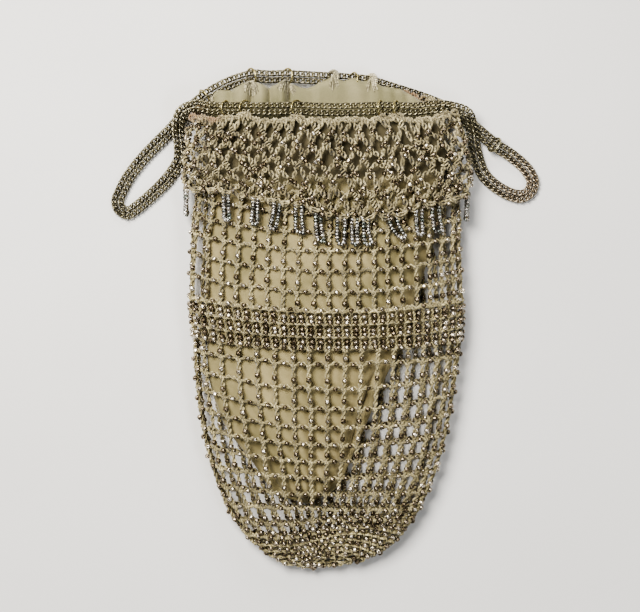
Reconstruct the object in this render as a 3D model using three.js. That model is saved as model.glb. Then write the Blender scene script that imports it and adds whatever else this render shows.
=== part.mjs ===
// A crocheted drawstring pouch that lies on its back: net bag, collar, bead fringe, lining, rings and chains.
// Millimetres. X runs across the bag, Y towards its mouth, Z up from the surface that it lies on.
import * as THREE from "three";

// Brings the origin under the middle of the whole
const CENTRE_X = -0.1;
const CENTRE_Y = -1.1;

// Sizes of the cloth layers
const NET_WALL = 1.6;
const COLLAR_INNER = 0.5;
const COLLAR_OUTER = 2.2;
const FRINGE_INNER = 0.7;
const FRINGE_OUTER = 2.0;
const LINING_WALL = 1.0;

// Roundness of a cross section: 2 is an ellipse, more is boxier
const FRONT_ROUND = 2.4;
const BACK_ROUND = 3.2;
const FLATTEN = 1.15;
const TIP_ROUND = 18;

// Cross sections of the bag from mouth to foot. down is the way along the side edge, edge the height of the
// side fold, front the rise above it, lift the underside, rise the extra length of the back, arch the bow of a row.
const BAG_SECTIONS = [
  { down: 0, y: 88.6, mid: -0.4, half: 56.0, edge: 8.6, front: 8.0, lift: 5.6, rise: 9.5, arch: 0 },
  { down: 8, y: 80.8, mid: 0.2, half: 58.2, edge: 8.5, front: 9.4, lift: 5.4, rise: 7.5, arch: 0 },
  { down: 24, y: 65.0, mid: 0.9, half: 60.4, edge: 8.0, front: 10.8, lift: 2.2, rise: 4.0, arch: 0 },
  { down: 36, y: 53.2, mid: 0.8, half: 59.7, edge: 7.8, front: 11.0, lift: 2.2, rise: 2.0, arch: 0 },
  { down: 54, y: 35.4, mid: 0.1, half: 59.8, edge: 7.5, front: 11.4, lift: 2.2, rise: 0.8, arch: 0 },
  { down: 67, y: 22.4, mid: 0.2, half: 60.4, edge: 7.2, front: 11.6, lift: 0, rise: 0, arch: 0 },
  { down: 80, y: 9.4, mid: 0.5, half: 60.7, edge: 7.0, front: 11.8, lift: 0, rise: 0, arch: 0 },
  { down: 98, y: -8.6, mid: 1.0, half: 59.6, edge: 6.9, front: 11.6, lift: 0, rise: 0, arch: 0.8 },
  { down: 124, y: -34.5, mid: 0.4, half: 56.8, edge: 6.7, front: 11.0, lift: 0, rise: 0, arch: 2.8 },
  { down: 151, y: -61.1, mid: 0, half: 51.4, edge: 6.3, front: 10.1, lift: 0, rise: 0, arch: 4.6 },
  { down: 177, y: -85.2, mid: -0.5, half: 41.6, edge: 5.6, front: 8.5, lift: 0, rise: 0, arch: 6.4 },
  { down: 199, y: -101.4, mid: -0.8, half: 27.5, edge: 4.8, front: 6.4, lift: 0, rise: 0, arch: 7.2 },
  { down: 214, y: -107.9, mid: -3.0, half: 14.2, edge: 4.3, front: 3.9, lift: 0, rise: 0, arch: 5.6 },
  { down: 229, y: -110.2, mid: -4.4, half: 0, edge: 3.9, front: 0, lift: 0, rise: 0, arch: 0 },
];

// Cross sections of the lining, which leans to the left inside the bag and narrows to its own foot
const LINING_SECTIONS = [
  { down: 0, y: 89.0, mid: -0.6, half: 51.5, edge: 9.6, front: 6.6, lift: 4.9, rise: 14.3, arch: 0 },
  { down: 6, y: 83.0, mid: 0.2, half: 53.0, edge: 9.4, front: 7.4, lift: 6.0, rise: 11.8, arch: 0 },
  { down: 14, y: 75.2, mid: 0.6, half: 53.6, edge: 9.2, front: 8.2, lift: 5.3, rise: 8.6, arch: 0 },
  { down: 36, y: 53.2, mid: 0.6, half: 50.6, edge: 8.6, front: 7.9, lift: 4.3, rise: 2.4, arch: 0 },
  { down: 55, y: 34.3, mid: -2.4, half: 50.0, edge: 8.2, front: 8.4, lift: 4.3, rise: 0.8, arch: 0 },
  { down: 70, y: 19.6, mid: -4.6, half: 47.8, edge: 7.8, front: 8.6, lift: 2.1, rise: 0, arch: 0 },
  { down: 98, y: -8.2, mid: -8.4, half: 43.6, edge: 7.4, front: 8.8, lift: 2.0, rise: 0, arch: 0 },
  { down: 118, y: -27.0, mid: -12.0, half: 38.0, edge: 7.0, front: 8.6, lift: 2.0, rise: 0, arch: 0 },
  { down: 136, y: -43.4, mid: -11.6, half: 31.6, edge: 6.6, front: 8.2, lift: 2.0, rise: 0, arch: 0 },
  { down: 155, y: -60.4, mid: -9.2, half: 23.0, edge: 6.0, front: 7.0, lift: 2.0, rise: 0, arch: 0.6 },
  { down: 175, y: -75.6, mid: -8.2, half: 13.6, edge: 5.0, front: 4.6, lift: 2.0, rise: 0, arch: 1.0 },
  { down: 190, y: -80.4, mid: -8.0, half: 0, edge: 4.4, front: 0, lift: 2.0, rise: 0, arch: 0 },
];
const LINING_LEAN = 0.25;

// How far the middle of a row of net, collar or fringe hangs below its ends at the side folds
const HANG = [
  { down: 0, drop: 0 },
  { down: 12, drop: 3 },
  { down: 33, drop: 7.5 },
  { down: 48, drop: 8 },
  { down: 70, drop: 7.8 },
  { down: 80, drop: 6.2 },
  { down: 98, drop: 6.2 },
  { down: 110, drop: 11 },
  { down: 124, drop: 12.5 },
  { down: 140, drop: 11.5 },
  { down: 165, drop: 10 },
  { down: 190, drop: 8.5 },
  { down: 205, drop: 6 },
  { down: 217, drop: 3 },
  { down: 229, drop: 0 },
];
const HANG_TILT = 0.12;

// Folds of the lining: at is the place round the mouth, spread its half width there, depth inwards, reach down
const LINING_FOLDS = [
  { at: 0.09, spread: 0.022, depth: 1.3, reach: 150 },
  { at: 0.2, spread: 0.028, depth: 1.0, reach: 120 },
  { at: 0.33, spread: 0.024, depth: 1.2, reach: 170 },
  { at: 0.42, spread: 0.02, depth: 1.5, reach: 150 },
  { at: 0.8, spread: 0.014, depth: 1.1, reach: 60 },
  { at: 0.84, spread: 0.014, depth: 1.3, reach: 70 },
  { at: 0.88, spread: 0.014, depth: 1.1, reach: 60 },
];

// The net: pairs of columns on each side, crowded to the right, and the heights of its bars, belt and foot
const NET_COLUMNS = 9;
const CROWDING = 0.146;
const BAR = 2.3;
const BAG_ROUND = 249;
const NET_ROWS = [
  { down: 26, open: false },
  { down: 44, open: true },
  { down: 60, open: false },
  { down: 62.3, open: true },
  { down: 79, open: false },
  { down: 88, open: false },
  { down: 97, open: true },
  { down: 112, open: true },
  { down: 127, open: false },
  { down: 129.3, open: true },
  { down: 141.5, open: true },
  { down: 153.7, open: false },
  { down: 156, open: true },
  { down: 167, open: true },
  { down: 178, open: false },
  { down: 187, open: false },
  { down: 196, open: false },
  { down: 205, open: false },
  { down: 213.5, open: false },
  { down: 221.5, open: false },
  { down: 229, open: false },
];
const NET_TUCK = 1.7;
const TUCK_END = 43;

// The collar: zigzag bars that meet at knots, between two hems
const COLLAR_COLUMNS = 14;
const ZIGZAG = 0.3;
const COLLAR_BAR = 3.0;
const SCALLOP = 2.0;
const COLLAR_SLACK = 1.2;
const COLLAR_ROWS = [
  { down: 0, level: 0, kind: "hem" },
  { down: 3, level: 0, kind: "mesh" },
  { down: 10.4, level: 1, kind: "knot" },
  { down: 13.4, level: 1, kind: "mesh" },
  { down: 19.6, level: 2, kind: "knot" },
  { down: 22.6, level: 2, kind: "mesh" },
  { down: 30, level: 3, kind: "hem" },
  { down: 33, level: 3, kind: "hem" },
];

// The fringe: loops on a head that follows the collar's lower edge
const FRINGE_LOOPS = 13;
const FRINGE_SHARE = 0.46;
const FRINGE_ROWS = [
  { down: 35.6, width: 0.5 },
  { down: 37.3, width: 0.4 },
  { down: 43.2, width: 0.46 },
  { down: 48, width: 0.26 },
];

// The drawstring: the way of the chain pair, with the rings that it runs through, lifted off the surface by them
const CHAIN_RADIUS = 1.25;
const CHAIN_APART = 2.8;
const RING_RADIUS = 3.45;
const RING_WIRE = 0.45;
const CHAIN_WAY = [
  { x: -62.0, y: 92.2, z: 2.2 },
  { x: -68.6, y: 85.1, z: 1.5 },
  { x: -75.2, y: 78.5, z: 1.4 },
  { x: -81.4, y: 71.9, z: 1.4 },
  { x: -87.1, y: 64.5, z: 1.4 },
  { x: -90.6, y: 57.9, z: 1.4 },
  { x: -92.2, y: 53.5, z: 1.4 },
  { x: -91.2, y: 50.0, z: 1.4 },
  { x: -88.0, y: 48.2, z: 1.4 },
  { x: -84.6, y: 49.9, z: 1.4 },
  { x: -79.2, y: 54.3, z: 1.4 },
  { x: -73.0, y: 60.1, z: 1.4 },
  { x: -68.2, y: 65.8, z: 1.4 },
  { x: -64.7, y: 71.9, z: 1.5 },
  { x: -64.4, y: 78.5, z: 2.0 },
  { x: -65.0, y: 84.9, z: 4.2 },
  { x: -63.4, y: 91.9, z: 7.9 },
  { x: -57.4, y: 94.7, z: 10.4 },
  { x: -50.2, y: 93.6, z: 12.2 },
  { x: -43.6, y: 93.2, z: 13.4, ring: "ring_front_1", tilt: 20 },
  { x: -34.8, y: 93.2, z: 14.5, ring: "ring_front_2", tilt: 40 },
  { x: -24.0, y: 93.0, z: 15.0 },
  { x: -12.3, y: 93.2, z: 15.6, ring: "ring_front_3", tilt: 40 },
  { x: -3.0, y: 92.8, z: 15.4 },
  { x: 5.0, y: 92.6, z: 15.3 },
  { x: 14.0, y: 92.9, z: 15.2 },
  { x: 24.2, y: 93.2, z: 15.2, ring: "ring_front_4", tilt: 20 },
  { x: 31.0, y: 93.2, z: 14.8, ring: "ring_front_5", tilt: 25 },
  { x: 39.6, y: 93.2, z: 13.4 },
  { x: 47.5, y: 94.2, z: 12.2 },
  { x: 54.9, y: 94.0, z: 11.0 },
  { x: 62.7, y: 91.5, z: 8.1 },
  { x: 65.4, y: 84.0, z: 4.0 },
  { x: 66.6, y: 77.0, z: 1.9 },
  { x: 68.4, y: 70.4, z: 1.4 },
  { x: 71.0, y: 64.8, z: 1.4 },
  { x: 75.8, y: 60.2, z: 1.4 },
  { x: 81.6, y: 56.8, z: 1.4 },
  { x: 87.2, y: 55.6, z: 1.4 },
  { x: 91.0, y: 57.6, z: 1.4 },
  { x: 92.4, y: 61.4, z: 1.4 },
  { x: 91.2, y: 65.4, z: 1.4 },
  { x: 87.4, y: 70.0, z: 1.4 },
  { x: 81.8, y: 74.4, z: 1.9 },
  { x: 75.2, y: 78.4, z: 3.3, ring: "ring_slide", tilt: 32 },
  { x: 69.6, y: 83.4, z: 1.9 },
  { x: 62.8, y: 89.0, z: 1.4 },
  { x: 55.9, y: 93.7, z: 1.35 },
  { x: 46.2, y: 98.0, z: 1.4 },
  { x: 34.0, y: 102.0, z: 1.8 },
  { x: 20.2, y: 105.8, z: 4.9, ring: "ring_back_6", tilt: 34 },
  { x: 12.6, y: 106.7, z: 4.9, ring: "ring_back_5", tilt: 30 },
  { x: 3.5, y: 107.4, z: 4.9, ring: "ring_back_4", tilt: 42 },
  { x: -6.4, y: 108.0, z: 4.0 },
  { x: -16.7, y: 108.5, z: 4.9, ring: "ring_back_3", tilt: 40 },
  { x: -24.8, y: 108.4, z: 4.1 },
  { x: -32.6, y: 108.5, z: 4.9, ring: "ring_back_2", tilt: 36 },
  { x: -43.4, y: 105.2, z: 3.6 },
  { x: -53.4, y: 99.4, z: 3.9, ring: "ring_back_1", tilt: 25 },
];

// A column of a table at any way down, smooth and without overshoot between its rows
function blend(table, column, down) {
  let k = 0;
  while (k < table.length - 2 && table[k + 1].down < down) {
    k += 1;
  }
  const slope = (i) => (table[i + 1][column] - table[i][column]) / (table[i + 1].down - table[i].down);
  const lean = (i) => {
    if (i === 0) {
      return slope(0);
    }
    if (i === table.length - 1) {
      return slope(i - 1);
    }
    const before = slope(i - 1);
    const after = slope(i);
    return before * after > 0 ? (2 * before * after) / (before + after) : 0;
  };
  const span = table[k + 1].down - table[k].down;
  const t = (down - table[k].down) / span;
  const a = table[k][column];
  const b = table[k + 1][column];
  const rising = t * t * (3 - 2 * t);
  const start = t * (1 - t) * (1 - t) * span * lean(k);
  const end = t * t * (t - 1) * span * lean(k + 1);
  return a + (b - a) * rising + start + end;
}

// The sizes of one cross section
function sizesAt(table, down) {
  const sizes = {};
  for (const column of ["y", "mid", "half", "edge", "front", "lift", "rise", "arch"]) {
    sizes[column] = blend(table, column, down);
  }
  const left = Math.max(0, table[table.length - 1].down - down);
  const t = Math.min(1, left / TIP_ROUND);
  sizes.back = FLATTEN * (sizes.edge - sizes.lift) * Math.sqrt(1 - (1 - t) ** 2);
  sizes.lean = table === LINING_SECTIONS ? LINING_LEAN : 0;
  return sizes;
}

// A point of a cross section: angle 0 at the left fold, over the front to the right fold and back underneath
function ovalPoint(sizes, angle) {
  const across = -Math.cos(angle);
  const out = Math.sin(angle);
  const power = 2 / (out >= 0 ? FRONT_ROUND : BACK_ROUND);
  const c = Math.sign(across) * Math.abs(across) ** power;
  const s = Math.abs(out) ** power;
  const x = sizes.mid + sizes.half * c;
  const bow = sizes.arch * (1 - c * c);
  if (out >= 0) {
    return new THREE.Vector3(x, sizes.y + bow, sizes.edge + sizes.front * s);
  }
  const tail = sizes.rise * s * (1 - sizes.lean * c);
  return new THREE.Vector3(x, sizes.y + bow + tail, Math.max(sizes.lift, sizes.edge - sizes.back * s));
}

// The angle that lies a given share of the way along the front or the back of a cross section
const SAMPLES = 72;
function angleAt(sizes, turn) {
  const whole = turn - Math.floor(turn);
  const base = whole < 0.5 ? 0 : Math.PI;
  const share = whole < 0.5 ? whole * 2 : whole * 2 - 1;
  const lengths = [0];
  let last = ovalPoint(sizes, base + 1e-9);
  for (let i = 1; i <= SAMPLES; i += 1) {
    const next = ovalPoint(sizes, base + (Math.PI * i) / SAMPLES - (i === SAMPLES ? 1e-9 : 0));
    lengths.push(lengths[i - 1] + Math.hypot(next.x - last.x, next.z - last.z));
    last = next;
  }
  const goal = share * lengths[SAMPLES];
  let k = 0;
  while (k < SAMPLES - 1 && lengths[k + 1] < goal) {
    k += 1;
  }
  const part = (goal - lengths[k]) / Math.max(1e-9, lengths[k + 1] - lengths[k]);
  return base + (Math.PI * (k + part)) / SAMPLES;
}

function surfacePoint(table, down, turn) {
  const sizes = sizesAt(table, down);
  return ovalPoint(sizes, angleAt(sizes, turn));
}

// A point off the surface: away is outwards, and nothing goes below the resting plane
function layerPoint(table, down, turn, away) {
  const end = table[table.length - 1].down;
  const point = surfacePoint(table, down, turn);
  if (down > end - 1e-6) {
    return point.add(new THREE.Vector3(0, -away, 0));
  }
  const step = 0.15;
  const upper = surfacePoint(table, Math.max(0, down - step), turn);
  const lower = surfacePoint(table, Math.min(end, down + step), turn);
  const before = surfacePoint(table, down, turn - 0.002);
  const after = surfacePoint(table, down, turn + 0.002);
  const normal = lower.sub(upper).cross(after.sub(before)).normalize();
  point.addScaledVector(normal, away);
  point.z = Math.max(0, point.z);
  return point;
}

// The way down of a point on a row that hangs in the middle, a little more to the right than to the left
function hungDown(down, turn) {
  const whole = turn - Math.floor(turn);
  const share = whole < 0.5 ? 2 * whole : 2 * whole - 1;
  const tilt = whole < 0.5 ? 2 * share - 1 : 1 - 2 * share;
  return down + blend(HANG, "drop", down) * (4 * share * (1 - share) + HANG_TILT * tilt);
}

// A closed solid from a sheet of cells with an outer and an inner face; open cells are left out
function sheetGeometry({ rows, columns, round, pole, place, open }) {
  const points = [];
  const index = [];
  const known = new Map();
  const vertex = (row, column, face) => {
    const atPole = pole && row === rows - 1;
    const wrapped = atPole ? 0 : round ? column % columns : column;
    const key = `${row},${wrapped},${face}`;
    if (!known.has(key)) {
      known.set(key, points.length / 3);
      points.push(...place(row, wrapped, face).toArray());
    }
    return known.get(key);
  };
  const triangle = (a, b, c) => {
    if (a !== b && b !== c && c !== a) {
      index.push(a, b, c);
    }
  };
  const quad = (a, b, c, d) => {
    triangle(a, b, c);
    triangle(a, c, d);
  };
  const cells = round ? columns : columns - 1;
  const solid = (row, column) => {
    if (row < 0 || row >= rows - 1) {
      return false;
    }
    if (!round && (column < 0 || column >= cells)) {
      return false;
    }
    return !open(row, (column + cells) % cells);
  };
  for (let row = 0; row < rows - 1; row += 1) {
    for (let column = 0; column < cells; column += 1) {
      if (!solid(row, column)) {
        continue;
      }
      const corner = [0, 1].map((face) => [
        vertex(row, column, face),
        vertex(row, column + 1, face),
        vertex(row + 1, column + 1, face),
        vertex(row + 1, column, face),
      ]);
      quad(corner[0][3], corner[0][2], corner[0][1], corner[0][0]);
      quad(corner[1][0], corner[1][1], corner[1][2], corner[1][3]);
      const beside = [solid(row - 1, column), solid(row, column + 1), solid(row + 1, column), solid(row, column - 1)];
      const closesAtPole = pole && row === rows - 2;
      for (let side = 0; side < 4; side += 1) {
        if (beside[side] || (closesAtPole && side === 2)) {
          continue;
        }
        const next = (side + 1) % 4;
        quad(corner[0][side], corner[0][next], corner[1][next], corner[1][side]);
      }
    }
  }
  const geometry = new THREE.BufferGeometry();
  geometry.setAttribute("position", new THREE.Float32BufferAttribute(points, 3));
  geometry.setIndex(index);
  geometry.computeVertexNormals();
  return geometry;
}

// Where a share of the way across the front or the back falls round the bag, with the columns crowded to the right
function turnAt(half, share) {
  const across = share * (1 + CROWDING) - CROWDING * share ** 4;
  return half === 0 ? across / 2 : 1 - across / 2;
}

// The net bag
function netGeometry() {
  const turns = [];
  const bar = BAR / BAG_ROUND / 2;
  const centres = [];
  for (let j = 0; j < NET_COLUMNS; j += 1) {
    centres.push(turnAt(0, j / NET_COLUMNS));
  }
  for (let j = NET_COLUMNS; j > 0; j -= 1) {
    centres.push(turnAt(1, j / NET_COLUMNS));
  }
  centres.forEach((centre, j) => {
    const next = j + 1 < centres.length ? centres[j + 1] : 1;
    turns.push(centre - bar, centre + bar, (centre + next) / 2);
  });
  return sheetGeometry({
    rows: NET_ROWS.length,
    columns: turns.length,
    round: true,
    pole: true,
    place: (row, column, face) => {
      const down = NET_ROWS[row].down;
      const fold = Math.cos(2 * Math.PI * turns[column]) ** 12;
      const tuck = NET_TUCK * fold * Math.max(0, Math.min(1, (TUCK_END - down) / 10));
      return layerPoint(BAG_SECTIONS, hungDown(down, turns[column]), turns[column], -tuck - face * NET_WALL);
    },
    open: (row, column) => NET_ROWS[row].open && column % 3 !== 0,
  });
}

// The collar
function collarGeometry() {
  const bar = COLLAR_BAR / BAG_ROUND / 2;
  const isKnot = (column, level) => (column + level) % 2 === 0;
  const shift = (column, level) => (isKnot(column, level) ? ZIGZAG : -ZIGZAG);
  const edgeTurn = (column, level) => (column - 0.5 + shift(column, level)) / COLLAR_COLUMNS;
  const turnOf = (row, place) => {
    const column = Math.floor(place / 3);
    const level = COLLAR_ROWS[row].level;
    if (place % 3 === 2) {
      return column / COLLAR_COLUMNS;
    }
    return edgeTurn(column, level) + (place % 3 === 0 ? -bar : bar);
  };
  return sheetGeometry({
    rows: COLLAR_ROWS.length,
    columns: COLLAR_COLUMNS * 3,
    round: true,
    pole: false,
    place: (row, column, face) => {
      const middle = column % 3 === 2 && isKnot(Math.floor(column / 3), 3);
      const scallop = row === COLLAR_ROWS.length - 1 && middle ? SCALLOP : 0;
      const down = COLLAR_ROWS[row].down + scallop;
      const turn = turnOf(row, column);
      const slack = COLLAR_SLACK * Math.cos(2 * Math.PI * turn) ** 6;
      const away = slack + (face === 0 ? COLLAR_OUTER : COLLAR_INNER);
      return layerPoint(BAG_SECTIONS, hungDown(down, turn), turn, away);
    },
    open: (row, column) => {
      if (column % 3 === 0 || COLLAR_ROWS[row].kind === "hem") {
        return false;
      }
      const knot = COLLAR_ROWS[row].kind === "knot" && isKnot(Math.floor(column / 3), COLLAR_ROWS[row].level);
      return !knot;
    },
  });
}

// One side of the fringe: half 0 lies on the front, half 1 underneath
function fringeGeometry(half) {
  const start = half * 0.5 + 0.25 - FRINGE_SHARE / 2;
  const pitch = FRINGE_SHARE / FRINGE_LOOPS;
  const turnOf = (row, place) => {
    const loop = Math.floor(place / 2);
    const side = place % 2 === 0 ? -1 : 1;
    return start + (loop + 0.5) * pitch + (side * FRINGE_ROWS[row].width * pitch) / 2;
  };
  return sheetGeometry({
    rows: FRINGE_ROWS.length,
    columns: FRINGE_LOOPS * 2,
    round: false,
    pole: false,
    place: (row, column, face) => {
      const away = face === 0 ? FRINGE_OUTER : FRINGE_INNER;
      const turn = turnOf(row, column);
      return layerPoint(BAG_SECTIONS, hungDown(FRINGE_ROWS[row].down, turn), turn, away);
    },
    open: (row, column) => row > 0 && column % 2 === 1,
  });
}

// The lining, with its folds pressed inwards
function liningGeometry() {
  const columns = 36;
  const downs = [0, 5, 12, 24, 36, 48, 58, 70, 84, 98, 118, 136, 155, 172, 190];
  const fold = (down, turn) => {
    let depth = 0;
    for (const row of LINING_FOLDS) {
      const away = Math.abs(turn - row.at) / row.spread;
      const fade = Math.max(0, 1 - down / row.reach);
      depth += away < 1 ? row.depth * fade * (0.5 + 0.5 * Math.cos(Math.PI * away)) : 0;
    }
    return depth;
  };
  return sheetGeometry({
    rows: downs.length,
    columns,
    round: true,
    pole: true,
    place: (row, column, face) => {
      const turn = column / columns;
      return layerPoint(LINING_SECTIONS, downs[row], turn, -fold(downs[row], turn) - face * LINING_WALL);
    },
    open: () => false,
  });
}

// The sideways direction of the chain pair at a row of its way
function sideOf(row) {
  const count = CHAIN_WAY.length;
  const before = CHAIN_WAY[(row + count - 1) % count];
  const after = CHAIN_WAY[(row + 1) % count];
  return new THREE.Vector3(before.y - after.y, after.x - before.x, 0).normalize();
}

// A closed curve whose steps fall on its points, so that tight bends keep short steps
class PointwiseLoop extends THREE.CatmullRomCurve3 {
  getUtoTmapping(u) {
    return u;
  }
}

function chainGeometry(side) {
  const points = CHAIN_WAY.map((row, i) =>
    new THREE.Vector3(row.x, row.y, row.z).addScaledVector(sideOf(i), (side * CHAIN_APART) / 2),
  );
  const loop = new PointwiseLoop(points, true, "catmullrom", 0.5);
  return new THREE.TubeGeometry(loop, points.length, CHAIN_RADIUS, 8, true);
}

// A ring round the chain pair, tipped back from upright by its tilt
function ringMesh(row, material) {
  const place = CHAIN_WAY[row];
  const count = CHAIN_WAY.length;
  const before = CHAIN_WAY[(row + count - 1) % count];
  const after = CHAIN_WAY[(row + 1) % count];
  const side = sideOf(row);
  const along = new THREE.Vector3(after.x - before.x, after.y - before.y, after.z - before.z).normalize();
  const up = new THREE.Vector3().crossVectors(along, side).normalize();
  const tilt = THREE.MathUtils.degToRad(place.tilt);
  const axis = along.clone().multiplyScalar(Math.cos(tilt)).addScaledVector(up, Math.sin(tilt));
  const third = new THREE.Vector3().crossVectors(axis, side);
  const mesh = new THREE.Mesh(new THREE.TorusGeometry(RING_RADIUS, RING_WIRE, 5, 12), material);
  mesh.name = place.ring;
  mesh.quaternion.setFromRotationMatrix(new THREE.Matrix4().makeBasis(side, third, axis));
  mesh.position.set(place.x, place.y, place.z);
  return mesh;
}

// Materials
const thread = new THREE.MeshStandardMaterial({ color: 0x9a8560, roughness: 0.85, metalness: 0 });
const cuffThread = new THREE.MeshStandardMaterial({ color: 0xa08d6a, roughness: 0.85, metalness: 0 });
const beads = new THREE.MeshStandardMaterial({ color: 0x8f9496, roughness: 0.3, metalness: 0.9 });
const cloth = new THREE.MeshStandardMaterial({ color: 0xb5aa84, roughness: 0.8, metalness: 0 });
const chainMetal = new THREE.MeshStandardMaterial({ color: 0x7d776a, roughness: 0.35, metalness: 1 });
const ringMetal = new THREE.MeshStandardMaterial({ color: 0x8d7a3e, roughness: 0.35, metalness: 1 });

const pouch = new THREE.Group();
const laid = new THREE.Group();
laid.position.set(CENTRE_X, CENTRE_Y, 0);
pouch.add(laid);
const add = (name, geometry, material) => {
  const mesh = new THREE.Mesh(geometry, material.clone());
  mesh.name = name;
  laid.add(mesh);
};

add("net_body", netGeometry(), thread);
add("collar", collarGeometry(), cuffThread);
add("fringe_front", fringeGeometry(0), beads);
add("fringe_back", fringeGeometry(1), beads);
add("lining", liningGeometry(), cloth);
add("chain_outer", chainGeometry(-1), chainMetal);
add("chain_inner", chainGeometry(1), chainMetal);
CHAIN_WAY.forEach((row, i) => {
  if (row.ring) {
    laid.add(ringMesh(i, ringMetal.clone()));
  }
});

export default pouch;
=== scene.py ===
# %% [markdown]
# # A crocheted pouch with steel beads
# The imported model gives the pouch's solids: a net bag, a collar, fringes, a lining, two chains and twelve
# rings. They are right in size and place, but plain. This lesson makes the thread, beads, cloth and metal
# that stand for them.

import math

import bpy
import numpy as np
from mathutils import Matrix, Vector


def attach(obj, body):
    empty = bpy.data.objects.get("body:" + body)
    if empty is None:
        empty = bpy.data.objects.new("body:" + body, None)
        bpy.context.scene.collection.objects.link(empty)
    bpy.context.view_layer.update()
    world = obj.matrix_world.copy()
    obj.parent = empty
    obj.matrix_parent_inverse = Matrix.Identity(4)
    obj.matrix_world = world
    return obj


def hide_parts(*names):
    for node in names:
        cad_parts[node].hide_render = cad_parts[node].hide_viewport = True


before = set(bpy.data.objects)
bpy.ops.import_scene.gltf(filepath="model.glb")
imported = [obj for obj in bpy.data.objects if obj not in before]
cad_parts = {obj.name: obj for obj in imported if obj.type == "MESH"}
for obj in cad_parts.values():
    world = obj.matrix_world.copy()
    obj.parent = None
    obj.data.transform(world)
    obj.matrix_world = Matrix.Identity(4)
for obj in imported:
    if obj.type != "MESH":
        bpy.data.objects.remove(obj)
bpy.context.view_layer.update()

# %% [markdown]
# ## Camera, table and light
# The pouch lies on its back and is seen from straight above, mouth up, through a long, flat-looking lens.
# A pixel of the 640 x 612 frame covers 0.44 mm, so the frame is 281.6 mm wide, seen from 782 mm away.
# Steel beads look like beads only if most of what they mirror is dim and a few lamps are bright.
# So the room is grey, and the main lamp, at the upper left, is broad enough for soft shadows on the cloth.

# %% Camera and table
MM = 0.001
FRAME_WIDTH = 640 * 0.44 * MM
LENS = 100
SENSOR = 36
AIM = (-2.3 * MM, 5.7 * MM)
FRONT_HEIGHT = 10 * MM
camera_place = (*AIM, FRONT_HEIGHT + FRAME_WIDTH * LENS / SENSOR)
bpy.ops.object.camera_add(location=camera_place, rotation=(0, 0, 0))
camera = bpy.context.object
camera.data.lens = LENS
camera.data.sensor_width = SENSOR
bpy.context.scene.camera = camera
bpy.ops.mesh.primitive_plane_add(size=3, location=(0, 0, -0.2 * MM))
table = bpy.context.object
table.name = "table"
print("camera height", round(camera.location.z, 4))

# %% Lamps


def lamp(name, place, size, watts, tint):
    bpy.ops.object.light_add(type="AREA", location=place)
    made = bpy.context.object
    made.name = name
    made.data.size = size
    made.data.energy = watts
    made.data.color = tint
    made.rotation_euler = (-Vector(place)).to_track_quat("-Z", "Y").to_euler()


lamp("key", (-0.34, 0.37, 0.74), 0.46, 18.0, (1.0, 0.97, 0.92))
lamp("fill", (0.50, -0.45, 0.75), 0.30, 3.4, (0.95, 0.97, 1.0))
lamp("rim", (0.10, 0.70, 0.40), 0.22, 2.2, (1.0, 0.98, 0.95))
room = bpy.data.worlds.new("room")
room.use_nodes = True
sky = room.node_tree.nodes["Background"].inputs
sky["Color"].default_value = (0.55, 0.56, 0.58, 1)
sky["Strength"].default_value = 0.11
bpy.context.scene.world = room
bpy.context.scene.view_settings.look = "AgX - Medium High Contrast"
print("lamps set")

# %% [markdown]
# ## Finishes
# Every finish starts from the Principled shader, and a small class makes its nodes.
# Patterns read Object coordinates, which are metres here, so a noise scale of 400 gives patches
# of about 2.5 mm. Every stitch and bead carries a number called tone, so that no two neighbours have
# quite the same colour. Inside a stitch the tone also carries painted shade: it falls towards the hollows
# between the plies and on the thinner rings of lumpy thread.

# %% Helpers for node trees


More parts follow.
